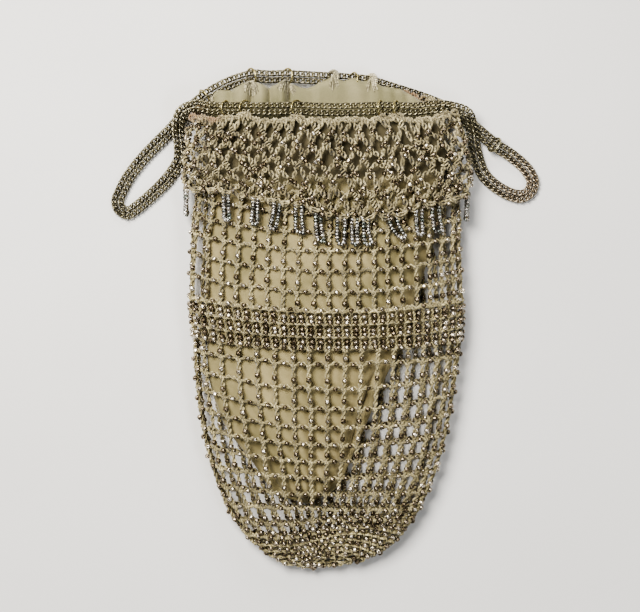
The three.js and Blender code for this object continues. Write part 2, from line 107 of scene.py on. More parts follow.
class Finish:
    """A material under construction."""

    def __init__(self, name, roughness, metallic=0.0):
        self.material = bpy.data.materials.new(name)
        self.material.use_nodes = True
        self.tree = self.material.node_tree
        self.shader = self.tree.nodes["Principled BSDF"]
        self.feed("Roughness", roughness)
        self.feed("Metallic", metallic)
        self.place = self.node("TexCoord").outputs["Object"]

    def feed(self, key, value, node=None):
        """Give an input of a node, or else of the shader, a link, a colour or a plain value."""
        socket = (node or self.shader).inputs[key]
        if isinstance(value, bpy.types.NodeSocket):
            self.tree.links.new(value, socket)
        else:
            socket.default_value = (*value, 1) if socket.type == "RGBA" else value

    def node(self, kind, inputs=(), **settings):
        """A new node, with its inputs by name or number."""
        made = self.tree.nodes.new("ShaderNode" + kind)
        for name, value in settings.items():
            setattr(made, name, value)
        for key, value in dict(inputs).items():
            self.feed(key, value, made)
        return made

    def noise(self, scale, detail):
        inputs = {"Vector": self.place, "Scale": scale, "Detail": detail}
        return self.node("TexNoise", inputs).outputs["Fac"]

    def tone(self):
        return self.node("Attribute", attribute_name="tone").outputs["Fac"]

    def ramp(self, value, stops):
        node = self.node("ValToRGB", {"Fac": value})
        elements = node.color_ramp.elements
        while len(elements) < len(stops):
            elements.new(0.5)
        for element, (at, colour) in zip(elements, stops):
            element.position = at
            element.color = (*colour, 1)
        return node.outputs["Color"]

    def mix(self, how, share, a, b):
        return self.node("Mix", {0: share, 6: a, 7: b}, data_type="RGBA", blend_type=how).outputs[2]

    def sums(self, how, *values):
        return self.node("Math", enumerate(values), operation=how).outputs[0]

    def bump(self, height, depth, strength):
        node = self.node("Bump", {"Height": height, "Distance": depth, "Strength": strength})
        self.feed("Normal", node.outputs["Normal"])

    def scuff(self, noise, least):
        """Roughness that varies with a noise, from a least value up."""
        self.feed("Roughness", self.sums("MULTIPLY_ADD", noise, 0.3, least))

    def spot(self, x, y, reach):
        """One near a place on the pouch, falling to nothing at its reach, in millimetres."""
        flat = self.node("VectorMath", {0: self.place, 1: (1, 1, 0)}, operation="MULTIPLY")
        ends = {0: flat.outputs["Vector"], 1: (x * MM, y * MM, 0)}
        away = self.node("VectorMath", ends, operation="DISTANCE").outputs["Value"]
        span = {"Value": away, "From Min": reach * MM, "From Max": 0}
        return self.node("MapRange", span, interpolation_type="SMOOTHSTEP").outputs["Result"]


print("finish helpers ready")

# %% [markdown]
# ## Thread and beads
# The thread is a khaki cotton, faded in patches, with flecks and fibres as bump; painted shade darkens its
# hollows.
# The collar's has rust stains at its two upper corners. Ties at the lining are cream, and the thread wound
# round two rings is the palest. The net's beads are cut steel gone brownish, with a broken surface
# that scatters small glints. The fringe beads are brighter, with blue-green ones among them.

# %% Thread finishes
RUST = (0.25, 0.155, 0.085)


def thread_finish(name, dark, light, stains=()):
    made = Finish(name, 0.86)
    patches = made.ramp(made.noise(170, 3), [(0.32, dark), (0.68, light)])
    # Tone holds each copy's random tone times the painted shade of the ply hollows and thin rings.
    stitch = made.ramp(made.tone(), [(0.0, (0.34, 0.335, 0.32)), (1.0, (1.55, 1.55, 1.53))])
    colour = made.mix("MULTIPLY", 1.0, patches, stitch)
    for stain in stains:
        colour = made.mix("MIX", made.spot(*stain), colour, RUST)
    fibres = made.noise(1500, 4)
    flecks = made.ramp(fibres, [(0.36, (0.26, 0.235, 0.19)), (0.61, (1.42, 1.42, 1.39))])
    made.feed("Base Color", made.mix("MULTIPLY", 0.8, colour, flecks))
    made.bump(fibres, 0.0003, 0.7)
    made.feed("Sheen Weight", 0.25)
    made.feed("Sheen Roughness", 0.5)
    made.feed("Specular IOR Level", 0.25)
    return made.material


collar_stains = [(-58.5, 91.0, 9.0), (38.0, 99.0, 9.0), (-49.0, 88.0, 5.0)]
net_thread = thread_finish("net_thread", (0.222, 0.187, 0.097), (0.43, 0.375, 0.212))
collar_thread = thread_finish("collar_thread", (0.23, 0.193, 0.108), (0.45, 0.392, 0.235), collar_stains)
cream_thread = thread_finish("cream_thread", (0.24, 0.216, 0.135), (0.36, 0.328, 0.225))
winding_thread = thread_finish("winding_thread", (0.36, 0.33, 0.235), (0.54, 0.505, 0.39))
print("threads made")

# %% Bead finishes


def bead_finish(name, stops, roughness, metal):
    made = Finish(name, roughness, metal)
    tarnish = made.ramp(made.noise(900, 3), [(0.35, (0.45, 0.38, 0.30)), (0.62, (1.0, 1.0, 1.0))])
    made.feed("Base Color", made.mix("MULTIPLY", 0.7, made.ramp(made.tone(), stops), tarnish))
    made.scuff(made.noise(1500, 2), roughness - 0.1)
    facets = made.noise(1300, 1)
    made.bump(facets, 0.0009, 0.6)
    return made.material


STEEL = [(0.0, (0.175, 0.14, 0.092)), (0.5, (0.34, 0.288, 0.215)), (1.0, (0.84, 0.785, 0.67))]
BRIGHT = [
    (0.0, (0.20, 0.195, 0.19)), (0.2, (0.26, 0.30, 0.275)),
    (0.4, (0.43, 0.42, 0.405)), (1.0, (0.78, 0.77, 0.73)),
]
steel_beads = bead_finish("steel_beads", STEEL, 0.18, 0.92)
bright_beads = bead_finish("bright_beads", BRIGHT, 0.22, 0.95)
print("beads made")

# %% [markdown]
# ## Metal, cloth and table
# The chains are a dull old metal, a little rosy at the end of the right loop. The rings are yellower brass.
# The lining has aged to a greenish tan, brightened lower down as painted light against the net's shadow.
# It is clean where it comes up through the mouth, and a ramp along Y paints shade as a dark band under the
# collar. Two crossed waves make the weave.

# %% Metal finishes


def metal_finish(name, dark, light, roughness, blush=None):
    made = Finish(name, roughness, 1.0)
    colour = made.ramp(made.noise(300, 4), [(0.3, dark), (0.7, light)])
    if blush:
        where, tint = blush
        colour = made.mix("MIX", made.spot(*where), colour, tint)
    made.feed("Base Color", colour)
    scuffs = made.noise(2600, 3)
    made.scuff(scuffs, roughness - 0.13)
    made.bump(scuffs, 0.00004, 0.5)
    return made.material


rosy_end = ((88, 60, 22), (0.33, 0.272, 0.20))
chain_metal = metal_finish("chain_metal", (0.12, 0.106, 0.07), (0.34, 0.31, 0.212), 0.32, rosy_end)
slide_metal = metal_finish("slide_metal", (0.20, 0.182, 0.11), (0.44, 0.405, 0.27), 0.3)
ring_brass = metal_finish("ring_brass", (0.23, 0.192, 0.085), (0.48, 0.415, 0.21), 0.28)
print("metals made")

# %% Cloth and table finishes
CLEAN = (1.0, 1.0, 1.0)
# Painted shade: a dark band on the lining under the collar.
COLLAR_PAINTED_SHADE = (0.38, 0.34, 0.28)
# Aged greenish tint, also brightened above clean as painted light against the net's shadow.
AGED_AND_PAINTED_LIGHT = (1.20, 1.10, 0.97)

cloth = Finish("lining_cloth", 0.78)
weave = []
for direction in ("X", "Y"):
    inputs = {"Vector": cloth.place, "Scale": 900, "Distortion": 0.6}
    weave.append(cloth.node("TexWave", inputs, bands_direction=direction).outputs["Fac"])
ground = cloth.ramp(cloth.noise(55, 3), [(0.36, (0.166, 0.152, 0.074)), (0.64, (0.25, 0.224, 0.122))])
specks = cloth.ramp(cloth.noise(1400, 3), [(0.3, (0.88, 0.87, 0.84)), (0.6, (1.0, 1.0, 1.0))])
split = cloth.node("SeparateXYZ", {0: cloth.place})
decimetres = cloth.sums("MULTIPLY", split.outputs["Y"], 10.0)
# The ramp along Y paints shade under the collar and painted light on the lower cloth.
age_and_painted_light = cloth.ramp(decimetres, [(0.57, AGED_AND_PAINTED_LIGHT), (0.64, COLLAR_PAINTED_SHADE), (0.84, COLLAR_PAINTED_SHADE), (0.9, CLEAN)])
ground = cloth.mix("MULTIPLY", 1.0, ground, age_and_painted_light)
cloth.feed("Base Color", cloth.mix("MULTIPLY", 0.6, ground, specks))
cloth.bump(cloth.sums("MULTIPLY", *weave), 0.00006, 0.5)
cloth.feed("Sheen Weight", 0.2)

pale = Finish("pale_table", 0.9)
clouds = pale.ramp(pale.noise(9, 2), [(0.3, (0.70, 0.69, 0.67)), (0.7, (0.74, 0.73, 0.71))])
pale.feed("Base Color", clouds)
table.data.materials.append(pale.material)
print("cloth and table made")

# %% [markdown]
# ## The shape of the bag
# Thread and beads have to sit on the bag, so its shape is worked out once and read wherever a stitch goes.
# The same tables drive the solids. They give cross sections from the mouth to the foot, each half of one
# rounded oval over the front and half of a flatter one underneath. A place on the bag is then a pair of
# numbers: down, in millimetres along the side fold, and turn, once round from the left fold over the front.
# A line of BAG or LINING is the way down, y, the middle, half the width, the height of the side folds,
# the front's rise above them, the back's least height, how much further up the back reaches at the mouth,
# and how far the middle arches up. A line of HANG is how far a row sags at a way down.

# %% Tables of cross sections
BAG = np.array(
    [
        (0, 88.6, -0.4, 56.0, 8.6, 8.0, 5.6, 9.5, 0),
        (8, 80.8, 0.2, 58.2, 8.5, 9.4, 5.4, 7.5, 0),
        (24, 65.0, 0.9, 60.4, 8.0, 10.8, 2.2, 4.0, 0),
        (36, 53.2, 0.8, 59.7, 7.8, 11.0, 2.2, 2.0, 0),
        (54, 35.4, 0.1, 59.8, 7.5, 11.4, 2.2, 0.8, 0),
        (67, 22.4, 0.2, 60.4, 7.2, 11.6, 0, 0, 0),
        (80, 9.4, 0.5, 60.7, 7.0, 11.8, 0, 0, 0),
        (98, -8.6, 1.0, 59.6, 6.9, 11.6, 0, 0, 0.8),
        (124, -34.5, 0.4, 56.8, 6.7, 11.0, 0, 0, 2.8),
        (151, -61.1, 0, 51.4, 6.3, 10.1, 0, 0, 4.6),
        (177, -85.2, -0.5, 41.6, 5.6, 8.5, 0, 0, 6.4),
        (199, -101.4, -0.8, 27.5, 4.8, 6.4, 0, 0, 7.2),
        (214, -107.9, -3.0, 14.2, 4.3, 3.9, 0, 0, 5.6),
        (229, -110.2, -4.4, 0, 3.9, 0, 0, 0, 0),
    ]
)
LINING = np.array(
    [
        (0, 89.0, -0.6, 51.5, 9.6, 6.6, 4.9, 14.3, 0),
        (6, 83.0, 0.2, 53.0, 9.4, 7.4, 6.0, 11.8, 0),
        (14, 75.2, 0.6, 53.6, 9.2, 8.2, 5.3, 8.6, 0),
        (36, 53.2, 0.6, 50.6, 8.6, 7.9, 4.3, 2.4, 0),
        (55, 34.3, -2.4, 50.0, 8.2, 8.4, 4.3, 0.8, 0),
        (70, 19.6, -4.6, 47.8, 7.8, 8.6, 2.1, 0, 0),
        (98, -8.2, -8.4, 43.6, 7.4, 8.8, 2.0, 0, 0),
        (118, -27.0, -12.0, 38.0, 7.0, 8.6, 2.0, 0, 0),
        (136, -43.4, -11.6, 31.6, 6.6, 8.2, 2.0, 0, 0),
        (155, -60.4, -9.2, 23.0, 6.0, 7.0, 2.0, 0, 0.6),
        (175, -75.6, -8.2, 13.6, 5.0, 4.6, 2.0, 0, 1.0),
        (190, -80.4, -8.0, 0, 4.4, 0, 2.0, 0, 0),
    ]
)
HANG = np.array(
    [
        (0, 0), (12, 3), (33, 7.5), (48, 8), (70, 7.8), (80, 6.2), (98, 6.2), (110, 11), (124, 12.5),
        (140, 11.5), (165, 10), (190, 8.5), (205, 6), (217, 3), (229, 0),
    ]
)
SHIFT = np.array([-0.1, -1.1, 0.0])


def blend(lines, down):
    """All columns of a table at the given ways down, smooth and without overshoot between its lines."""
    lines = lines.astype(float)
    down = np.asarray(down, float)
    way = lines[:, 0]
    slope = np.diff(lines, axis=0) / np.diff(way)[:, None]
    both = slope[:-1] * slope[1:]
    lean = np.vstack([slope[:1], slope])
    lean[1:-1] = np.where(both > 0, 2 * both / np.where(both > 0, slope[:-1] + slope[1:], 1), 0)
    k = np.clip(np.searchsorted(way, down) - 1, 0, len(way) - 2)
    span = (way[k + 1] - way[k])[..., None]
    t = (down - way[k])[..., None] / span
    rising = t * t * (3 - 2 * t)
    bends = t * (1 - t) * span * ((1 - t) * lean[k] - t * lean[k + 1])
    return lines[k] + (lines[k + 1] - lines[k]) * rising + bends


print("bag tables:", len(BAG), "and", len(LINING), "sections")

# %% Surfaces that any place can be read from
ROWS_PER_MM = 2
TURN_STEPS = 720
END_ROUNDING = 18
BACK_FULLNESS = 1.15
FRONT_POWER = 2.4
BACK_POWER = 3.2


def unit(vectors):
    return vectors / np.maximum(np.linalg.norm(vectors, axis=-1, keepdims=True), 1e-9)


class Surface:
    """A bag as a fine grid of points and outward directions."""

    def __init__(self, lines, lean):
        self.end = lines[-1, 0]
        self.lean = lean
        downs = np.linspace(0, self.end, ROWS_PER_MM * int(self.end) + 1)
        rows = []
        for down, sizes in zip(downs, blend(lines, downs)):
            t = min(1.0, (self.end - down) / END_ROUNDING)
            fullness = math.sqrt(1 - (1 - t) ** 2)
            front, back = (self.half(sizes, fullness, behind) for behind in (False, True))
            rows.append(np.vstack([front, back[1:]]))
        self.points = np.array(rows)
        around = np.roll(self.points[:, :-1], -1, axis=1) - np.roll(self.points[:, :-1], 1, axis=1)
        around = np.concatenate([around, around[:, :1]], axis=1)
        normal = np.cross(np.gradient(self.points, axis=0), around)
        normal[-1] = (0, -1, 0)
        self.normals = unit(normal)

    def half(self, sizes, fullness, behind):
        """One side of a cross section, at even steps of its length."""
        angle = np.linspace(0, math.pi, 241)
        outline = self.oval(sizes, fullness, angle, behind)
        steps = np.hypot(np.diff(outline[:, 0]), np.diff(outline[:, 2]))
        length = np.concatenate([[0], np.cumsum(steps)])
        share = np.linspace(0, 1, TURN_STEPS // 2 + 1)
        if length[-1] < 1e-9:
            return np.repeat(outline[:1], len(share), axis=0)
        return self.oval(sizes, fullness, np.interp(share * length[-1], length, angle), behind)

    def oval(self, sizes, fullness, angle, behind):
        _, y, mid, half, edge, front, lift, rise, arch = sizes
        power = 2 / (BACK_POWER if behind else FRONT_POWER)
        across = np.cos(angle) if behind else -np.cos(angle)
        c = np.sign(across) * np.abs(across) ** power
        s = np.abs(np.sin(angle)) ** power
        depth = BACK_FULLNESS * (edge - lift) * fullness
        tail = rise * s * (1 - self.lean * c) if behind else 0
        z = np.maximum(lift, edge - depth * s) if behind else edge + front * s
        return np.stack([mid + half * c, y + arch * (1 - c * c) + tail, z], axis=1)

    def at(self, down, turn, away=0.0):
        """Points, so far away from the surface but not below the table, and outward directions."""
        down, turn, away = np.broadcast_arrays(np.asarray(down, float), turn, away)
        row = np.clip(down, 0, self.end) * ROWS_PER_MM
        column = (turn % 1.0) * TURN_STEPS
        i = np.minimum(row.astype(int), len(self.points) - 2)
        j = np.minimum(column.astype(int), TURN_STEPS - 1)
        f = (row - i)[..., None]
        g = (column - j)[..., None]
        found = []
        for grid in (self.points, self.normals):
            upper = grid[i, j] * (1 - g) + grid[i, j + 1] * g
            lower = grid[i + 1, j] * (1 - g) + grid[i + 1, j + 1] * g
            found.append(upper * (1 - f) + lower * f)
        normal = unit(found[1])
        point = found[0] + normal * away[..., None]
        point[..., 2] = np.maximum(point[..., 2], 0)
        return point, normal


bag = Surface(BAG, 0)
inner_bag = Surface(LINING, 0.25)
print("bag surface", bag.points.shape, "lining surface", inner_bag.points.shape)

# %% Ways down and round
FOOT_FROM, FOOT_FADE = 172, 18
FOOT_END, END_FADE = 229, 12
FOOT_ASKEW = 5.0
ROW_TILT = 0.12


def hung(down, turn):
    """The way down of a point on a sagging row that starts at this way down at the side fold."""
    whole = np.asarray(turn) % 1.0
    share = (2 * whole) % 1.0
    tilt = np.where(whole < 0.5, 2 * share - 1, 1 - 2 * share)
    askew = np.where(whole < 0.5, 1, -1) * np.sin(2 * math.pi * share)
    in_foot = np.clip((down - FOOT_FROM) / FOOT_FADE, 0, 1) * np.clip((FOOT_END - down) / END_FADE, 0, 1)
    sag = blend(HANG, down)[..., 1] * (4 * share * (1 - share) + ROW_TILT * tilt)
    return down + sag + FOOT_ASKEW * in_foot * askew


def turn_at(surface, x, down, back=False):
    """The turn of a place x millimetres across, on the front or the back."""
    turns = np.linspace(0.5, 1, 181) if back else np.linspace(0, 0.5, 181)
    across = surface.at(np.full(181, float(down)), turns)[0][:, 0]
    return np.interp(x, across[::-1], turns[::-1]) if back else np.interp(x, across, turns)


def turns_apart(turn, other):
    return np.abs((turn - other + 0.5) % 1.0 - 0.5)


def bell(off, width):
    """One in the middle, falling smoothly to nothing at about twice the width."""
    return np.exp(-((off / width) ** 2))


print("the front's middle is at turn", round(float(turn_at(bag, 0, 100)), 3))

# %% [markdown]
# ## The lining
# The lining is a plain cloth bag, narrower than the net, that has slipped to the left inside it.
# A flat grid's columns are taken as the way round and its rows as the way down, and every vertex is laid
# on the lining's shape. Long folds are pressed in, the mouth is gathered in pleats with three pillows
# at the left behind, and the edge is drawn up at each ring and rolled over the chains at the right. In front
# the cloth is pressed in under collar and belt, fills out the net below, and has one deep slit at the right.
# Seam and foot are then merged, and Solidify gives the cloth its thickness.
# A simulation would settle into other folds than this pouch's, so they are shaped one by one.

# %% The lining's folds
# A fold is its turn, half its width as a turn, its depth and its reach down. A peak is a turn and a lift.
# A ripple is its waves round, its pitch down and its size. FILL is how far the front is filled out.
random = np.random.default_rng(7)
FOLDS = [
    (0.09, 0.022, 1.3, 150), (0.2, 0.028, 1.0, 120), (0.33, 0.024, 1.2, 170), (0.42, 0.02, 1.5, 150),
    (0.8, 0.014, 1.1, 60), (0.84, 0.014, 1.3, 70), (0.88, 0.014, 1.1, 60),
]
FRONT_RINGS = (-43.6, -34.8, -12.3, 24.2, 31.0)
PEAKS = [(turn_at(inner_bag, x, 0, True), 2.4) for x in (-48.0, -32.6, -16.7, 3.5, 12.6, 20.2)]
PEAKS += [(turn_at(inner_bag, x, 0), 1.3) for x in FRONT_RINGS]
PEAK_WIDTH = 0.016
PILLOWS = [turn_at(inner_bag, x, 3, True) for x in (-16.0, -41.0)]
ROLLED = [turn_at(inner_bag, x, 0, True) for x in (44.0, 33.0, 1.0, -8.0)]
PLEATS = 31
FILL_AT = (30, 60, 80, 96, 122, 135, 150, 180, 200)
FILL = (0, 0.6, 0.6, -0.8, -0.8, 0.6, 1.5, 2.9, 0)
RIPPLE_SIZES = ((5, 61, 0.16), (9, 43, 0.14), (13, 88, 0.10), (3, 34, 0.14))
RIPPLES = [(*sizes, random.uniform(0, 6.28, 2)) for sizes in RIPPLE_SIZES]


def pressed_in(down, turn):
    """How far the cloth lies inwards at its pleats, folds, pillows, slit and ripples."""
    front = np.sin(2 * math.pi * np.clip(turn, 0, 0.5))
    left = np.clip(np.cos(2 * math.pi * turn), 0, 1) ** 6
    pleats = np.sin(2 * math.pi * (PLEATS * turn + 0.35 * np.sin(2 * math.pi * 5 * turn)))
    inwards = 0.35 * np.exp(-down / 16) * (1 + pleats)
    for at, spread, depth, reach in FOLDS:
        off = np.minimum(1, np.abs(turn - at) / spread)
        inwards += depth * np.clip(1 - down / reach, 0, 1) * (0.5 + 0.5 * np.cos(math.pi * off))
    share = np.clip((turn - PILLOWS[0]) / (PILLOWS[1] - PILLOWS[0]), 0, 1)
    plump = 3.8 * (0.8 + 0.2 * np.cos(7 * share)) * np.abs(np.sin(3 * math.pi * share)) ** 0.45
    plump -= 1.6 * (bell(share - 1 / 3, 0.035) + bell(share - 2 / 3, 0.035))
    inwards += plump * bell(down, 17) + 0.9 * (turn > 0.5) * bell(down - 5, 3.5)
    inwards += front * (2.4 * bell(down - 22, 15) - np.interp(down, FILL_AT, FILL))
    slit = bell(turn - 0.452, 0.010) * np.exp(-(((down - 132) / 20) ** 4))
    inwards += 2.6 * (slit - left * bell(down - 138, 20))
    crumple = 1 + 3 * np.clip((down - 115) / 40, 0, 1)
    for waves, pitch, size, phase in RIPPLES:
        ripple = np.sin(2 * math.pi * waves * turn + phase[0] + 1.5 * np.sin(down / pitch + phase[1]))
        inwards += size * crumple * (1 + ripple)
    return inwards


def lining_place(down, turn):
    """Where the cloth lies, with its edge drawn up at the rings and rolled at the right."""
    point, _ = inner_bag.at(down, turn, -pressed_in(down, turn))
    drawn = sum(lift * bell(turns_apart(turn, at), PEAK_WIDTH) for at, lift in PEAKS)
    rolled = np.interp(turn, ROLLED, (0, 1, 1, 0))
    point[..., 1] += (drawn - 0.9 + 3.4 * rolled) * np.exp(-down / 5)
    point[..., 2] += 2.0 * rolled * bell(down, 3.5)
    return point


print("folds:", len(FOLDS), "peaks:", len(PEAKS))

# %% Lay the cloth
CLOTH_THICK = 0.5 * MM


def points_of(mesh):
    points = np.empty(len(mesh.vertices) * 3)
    mesh.vertices.foreach_get("co", points)
    return points.reshape(-1, 3)


def edit_all():
    bpy.ops.object.mode_set(mode="EDIT")
    bpy.ops.mesh.select_all(action="SELECT")


def leave_edit():
    """All faces outwards, and back to object mode."""
    bpy.ops.mesh.normals_make_consistent(inside=False)
    bpy.ops.object.mode_set(mode="OBJECT")


bpy.ops.mesh.primitive_grid_add(x_subdivisions=320, y_subdivisions=72, size=2, location=(0, 0, 0))
lining = bpy.context.object
lining.name = "lining_bag"
flat = points_of(lining.data)
turns = (flat[:, 0] + 1) / 2
downs = inner_bag.end * ((1 - flat[:, 1]) / 2) ** 1.15
laid = (lining_place(downs, turns) + SHIFT) * MM
lining.data.vertices.foreach_set("co", laid.ravel())
edit_all()
bpy.ops.mesh.remove_doubles(threshold=0.00001)
leave_edit()
wall = lining.modifiers.new("cloth", "SOLIDIFY")
wall.thickness = CLOTH_THICK
wall.offset = -1
bpy.ops.object.modifier_apply(modifier="cloth")
bpy.ops.object.shade_smooth()
lining.data.materials.append(cloth.material)
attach(lining, "root")
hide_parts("lining")
lining_area = sum(f.area for f in lining.data.polygons) / 2
print("lining faces", len(lining.data.polygons), "area of one side", round(lining_area, 4))

# %% [markdown]
# ## One stitch, many copies
# A crocheted net is a few small shapes repeated: a twisted bar, a bead, a link. Each is modelled once,
# in millimetres near the origin, and read into arrays. Copies are laid with arithmetic and joined in one mesh
# per piece. A bar is one long along Y, so that it can be stretched between any two knots of the net.

# %% Masters to arrays and back


def put_away(model):
    """The points and faces of a finished master, which leaves the scene."""
    mesh = model.data
    corners = np.empty(len(mesh.loops), int)
    mesh.loops.foreach_get("vertex_index", corners)
    counts = np.array([len(face.vertices) for face in mesh.polygons])
    master = {"points": points_of(mesh), "corners": corners, "counts": counts}
    bpy.data.objects.remove(model)
    return master


def torus(radius, wire, around, across, **turned):
    bpy.ops.mesh.primitive_torus_add(
        major_segments=around, minor_segments=across, major_radius=radius, minor_radius=wire, **turned
    )
    return bpy.context.object


def joined(name, batches, finish):
    """One piece from batches of copies: placed points, their master, and a tone for each copy."""
    points, corners, counts, tones, base = [], [], [], [], 0
    for placed, master, tone in batches:
        copies, size = placed.shape[:2]
        starts = base + np.arange(copies) * size
        points.append(placed.reshape(-1, 3))
        corners.append((master["corners"][None] + starts[:, None]).ravel())
        counts.append(np.tile(master["counts"], copies))
        # Each vertex's tone is its copy's random tone times the master's painted shade, where it has one.
        tones.append((np.asarray(tone)[:, None] * master.get("shade", np.ones(size))).ravel())
        base += copies * size
    points, corners, counts, tones = (np.concatenate(part) for part in (points, corners, counts, tones))
    mesh = bpy.data.meshes.new(name)
    mesh.vertices.add(len(points))
    mesh.vertices.foreach_set("co", ((points + SHIFT) * MM).ravel())
    mesh.loops.add(len(corners))
    mesh.loops.foreach_set("vertex_index", corners)
    mesh.polygons.add(len(counts))
    mesh.polygons.foreach_set("loop_start", np.concatenate([[0], np.cumsum(counts)[:-1]]))
    mesh.polygons.foreach_set("use_smooth", np.full(len(counts), True))
    mesh.update(calc_edges=True)
    mesh.attributes.new("tone", "FLOAT", "POINT").data.foreach_set("value", tones)
    piece = bpy.data.objects.new(name, mesh)
    bpy.context.scene.collection.objects.link(piece)
    mesh.materials.append(finish)
    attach(piece, "root")
    print(name, "triangles:", int((counts - 2).sum()))
    return piece


print("master helpers ready")

# %% Laying copies
TABLE_GAP = 0.02


def lengths(line):
    """How far each point of a line is from its start, along the line."""
    return np.concatenate([[0], np.cumsum(np.linalg.norm(np.diff(line, axis=0), axis=1))])


def above_table(placed):
    """The same points, none lower than a hair above the table."""
    placed[..., 2] = np.maximum(placed[..., 2], TABLE_GAP)
    return placed


def spun(side, third, angle):
    """Two directions turned together about the line that they stand on."""
    angle = angle[:, None]
    return side * np.cos(angle) + third * np.sin(angle), third * np.cos(angle) - side * np.sin(angle)


def turned_copies(master, place, frames, size=1.0):
    """Scaled copies, each with its X, Y and Z along the three lines of its frame."""
    scaled = master["points"][None] * np.reshape(size, (-1, 1, 1))
    return place[:, None] + np.einsum("nvk,nkc->nvc", scaled, frames)


def lay_bars(master, place_at, *places):
    """Copies of a bar from a first place through a second to a third, with its Z outwards."""
    found = [[part.reshape(-1, 3) for part in place_at(*place)] for place in places]
    (start, normal_a), (middle, _), (end, normal_b) = found
    x, t, z = master["points"].T
    weights = np.stack([(1 - t) * (1 - 2 * t), 4 * t * (1 - t), t * (2 * t - 1)])
    line = np.einsum("kv,nkc->nvc", weights, np.stack([start, middle, end], axis=1))
    normal = normal_a[:, None] * (1 - t)[None, :, None] + normal_b[:, None] * t[None, :, None]
    side = unit(np.cross(unit(end - start), unit(normal_a + normal_b)))
    return above_table(line + x[None, :, None] * side[:, None] + z[None, :, None] * unit(normal))


def lay_beads(master, place, along, outward, size):
    """Copies of a bead with its hole, its Y, along the thread, each spun at random about it."""
    side = unit(np.cross(along, outward))
    third = unit(np.cross(side, along))
    side, third = spun(side, third, random.uniform(0, 2 * math.pi, len(place)))
    return above_table(turned_copies(master, place, np.stack([side, unit(along), third], axis=1), size))


def bead_batch(master, place, along, outward, least, most):
    """Beads of mixed sizes, with a tone for each."""
    sizes = random.uniform(least, most, len(place))
    return lay_beads(master, place, along, outward, sizes), master, random.random(len(place))


print("copying helpers ready")

# %% [markdown]
# ## Masters for bars and beads
# The thread is two plies wound round each other. A small circle beside the Y axis climbs with Screw,
# and its twin goes round on the other side. Every second ring of a ply can be thinner, which makes the
# thread look lumpy and knotted, and those rings get painted shade, as do the hollows between the plies.
# A bead is a small torus, drawn out along its hole.

# %% A twisted bar and a bead
# Painted shade: a ply's tone falls to HOLLOW_SHADE towards the hollow between the plies, and thin rings lose
# THIN_SHADE more.
HOLLOW_SHADE = 0.2
THIN_SHADE = 0.45


def twisted_bar(turns, spread, ply, steps=4, sides=4, lumps=0.0):
    """Two plies of a given radius, at a spread from the middle; lumps is how much their rings vary."""
    bpy.ops.mesh.primitive_circle_add(
        vertices=sides, radius=ply, location=(spread, 0, 0), rotation=(math.pi / 2, 0, 0)
    )
    model = bpy.context.object
    bpy.ops.object.transform_apply(location=True, rotation=True, scale=True)
    climb = model.modifiers.new("climb", "SCREW")
    climb.axis = "Y"
    climb.angle = 2 * math.pi * turns
    climb.screw_offset = 1.0
    climb.steps = round(steps * abs(turns))
    climb.render_steps = climb.steps
    bpy.ops.object.modifier_apply(modifier="climb")
    edit_all()
    bpy.ops.mesh.fill_holes(sides=0)
    bpy.ops.mesh.normals_make_consistent(inside=False)
    bpy.ops.mesh.duplicate()
    bpy.ops.transform.rotate(value=math.pi, orient_axis="Y", center_override=(0, 0, 0))
    bpy.ops.object.mode_set(mode="OBJECT")
    made = put_away(model)
    x, way, z = made["points"].T
    made["points"][:, 1] = (way - way.min()) / np.ptp(way)
    out = np.hypot(x, z)
    # Painted shade, darker towards the hollow between the plies.
    made["shade"] = HOLLOW_SHADE + (1 - HOLLOW_SHADE) * (out - out.min()) / np.ptp(out)
    rings = made["points"].reshape(2, -1, sides, 3)
    middle = rings.mean(axis=2, keepdims=True)
    odd = (np.arange(rings.shape[1]) % 2)[None, :, None, None]
    made["points"] = (middle + (rings - middle) * (1 + lumps * (1 - 2 * odd))).reshape(-1, 3)
    # Painted shade on the thinner rings.
    if lumps:
        made["shade"] *= np.broadcast_to(1 - THIN_SHADE * odd, rings.shape[:3] + (1,)).ravel()
    return made


def cut_bead(long):
    """A faceted bead, one wide, so many times as long as its ring is thick."""
    model = torus(0.3, 0.2, 7, 5, rotation=(math.pi / 2, 0, 0))
    bpy.ops.object.transform_apply(location=True, rotation=True, scale=True)
    edit_all()
    bpy.ops.transform.resize(value=(1, long, 1))
    leave_edit()
    return put_away(model)


upright = twisted_bar(1.5, 0.50, 0.56, lumps=0.10)
crossbar = twisted_bar(1.5, 0.42, 0.54, lumps=0.10)
short_bar = twisted_bar(1.5, 0.40, 0.46)
arch_bar = twisted_bar(1, 0.44, 0.56)
knot_bar = twisted_bar(1, 0.50, 0.60)
bead = cut_bead(2.2)
fringe_bead = cut_bead(1.6)
for label, master in (("upright", upright), ("crossbar", crossbar), ("knot bar", knot_bar), ("bead", bead)):
    print(label, "triangles:", int((master["counts"] - 2).sum()))

# %% [markdown]
# ## The net
# The open net is filet crochet: upright bars of twisted thread and crossbars between them, with a bead
# on nearly every bar and a short fat bar over each knot. The knots are worked out first, as rows times
# columns, a little out of line as in handwork. Forty columns go round above the belt and thirty-six below,
# crowded to the right, where the bag has been pushed together. The back's stand between the front's.

# %% Knots of the net
UPPER_ROWS = np.array([27.5, 35.5, 43.5, 51.4, 60.4, 69.8, 79.2])
BELT_ROWS = np.array([79.6, 85.4, 91.2, 97.0])
LOWER_ROWS = np.array([97.2, 103.2, 111.2, 119.8, 128.6, 137.4, 146.1, 154.9, 164.0, 172.8, 180.4, 187.4])
FOOT_ROWS = np.array([187.6, 193.0, 198.2, 203.4, 208.6, 213.8, 218.6, 223.2, 227.4])
NET_SUNK = 1.06
HAIR = 0.002


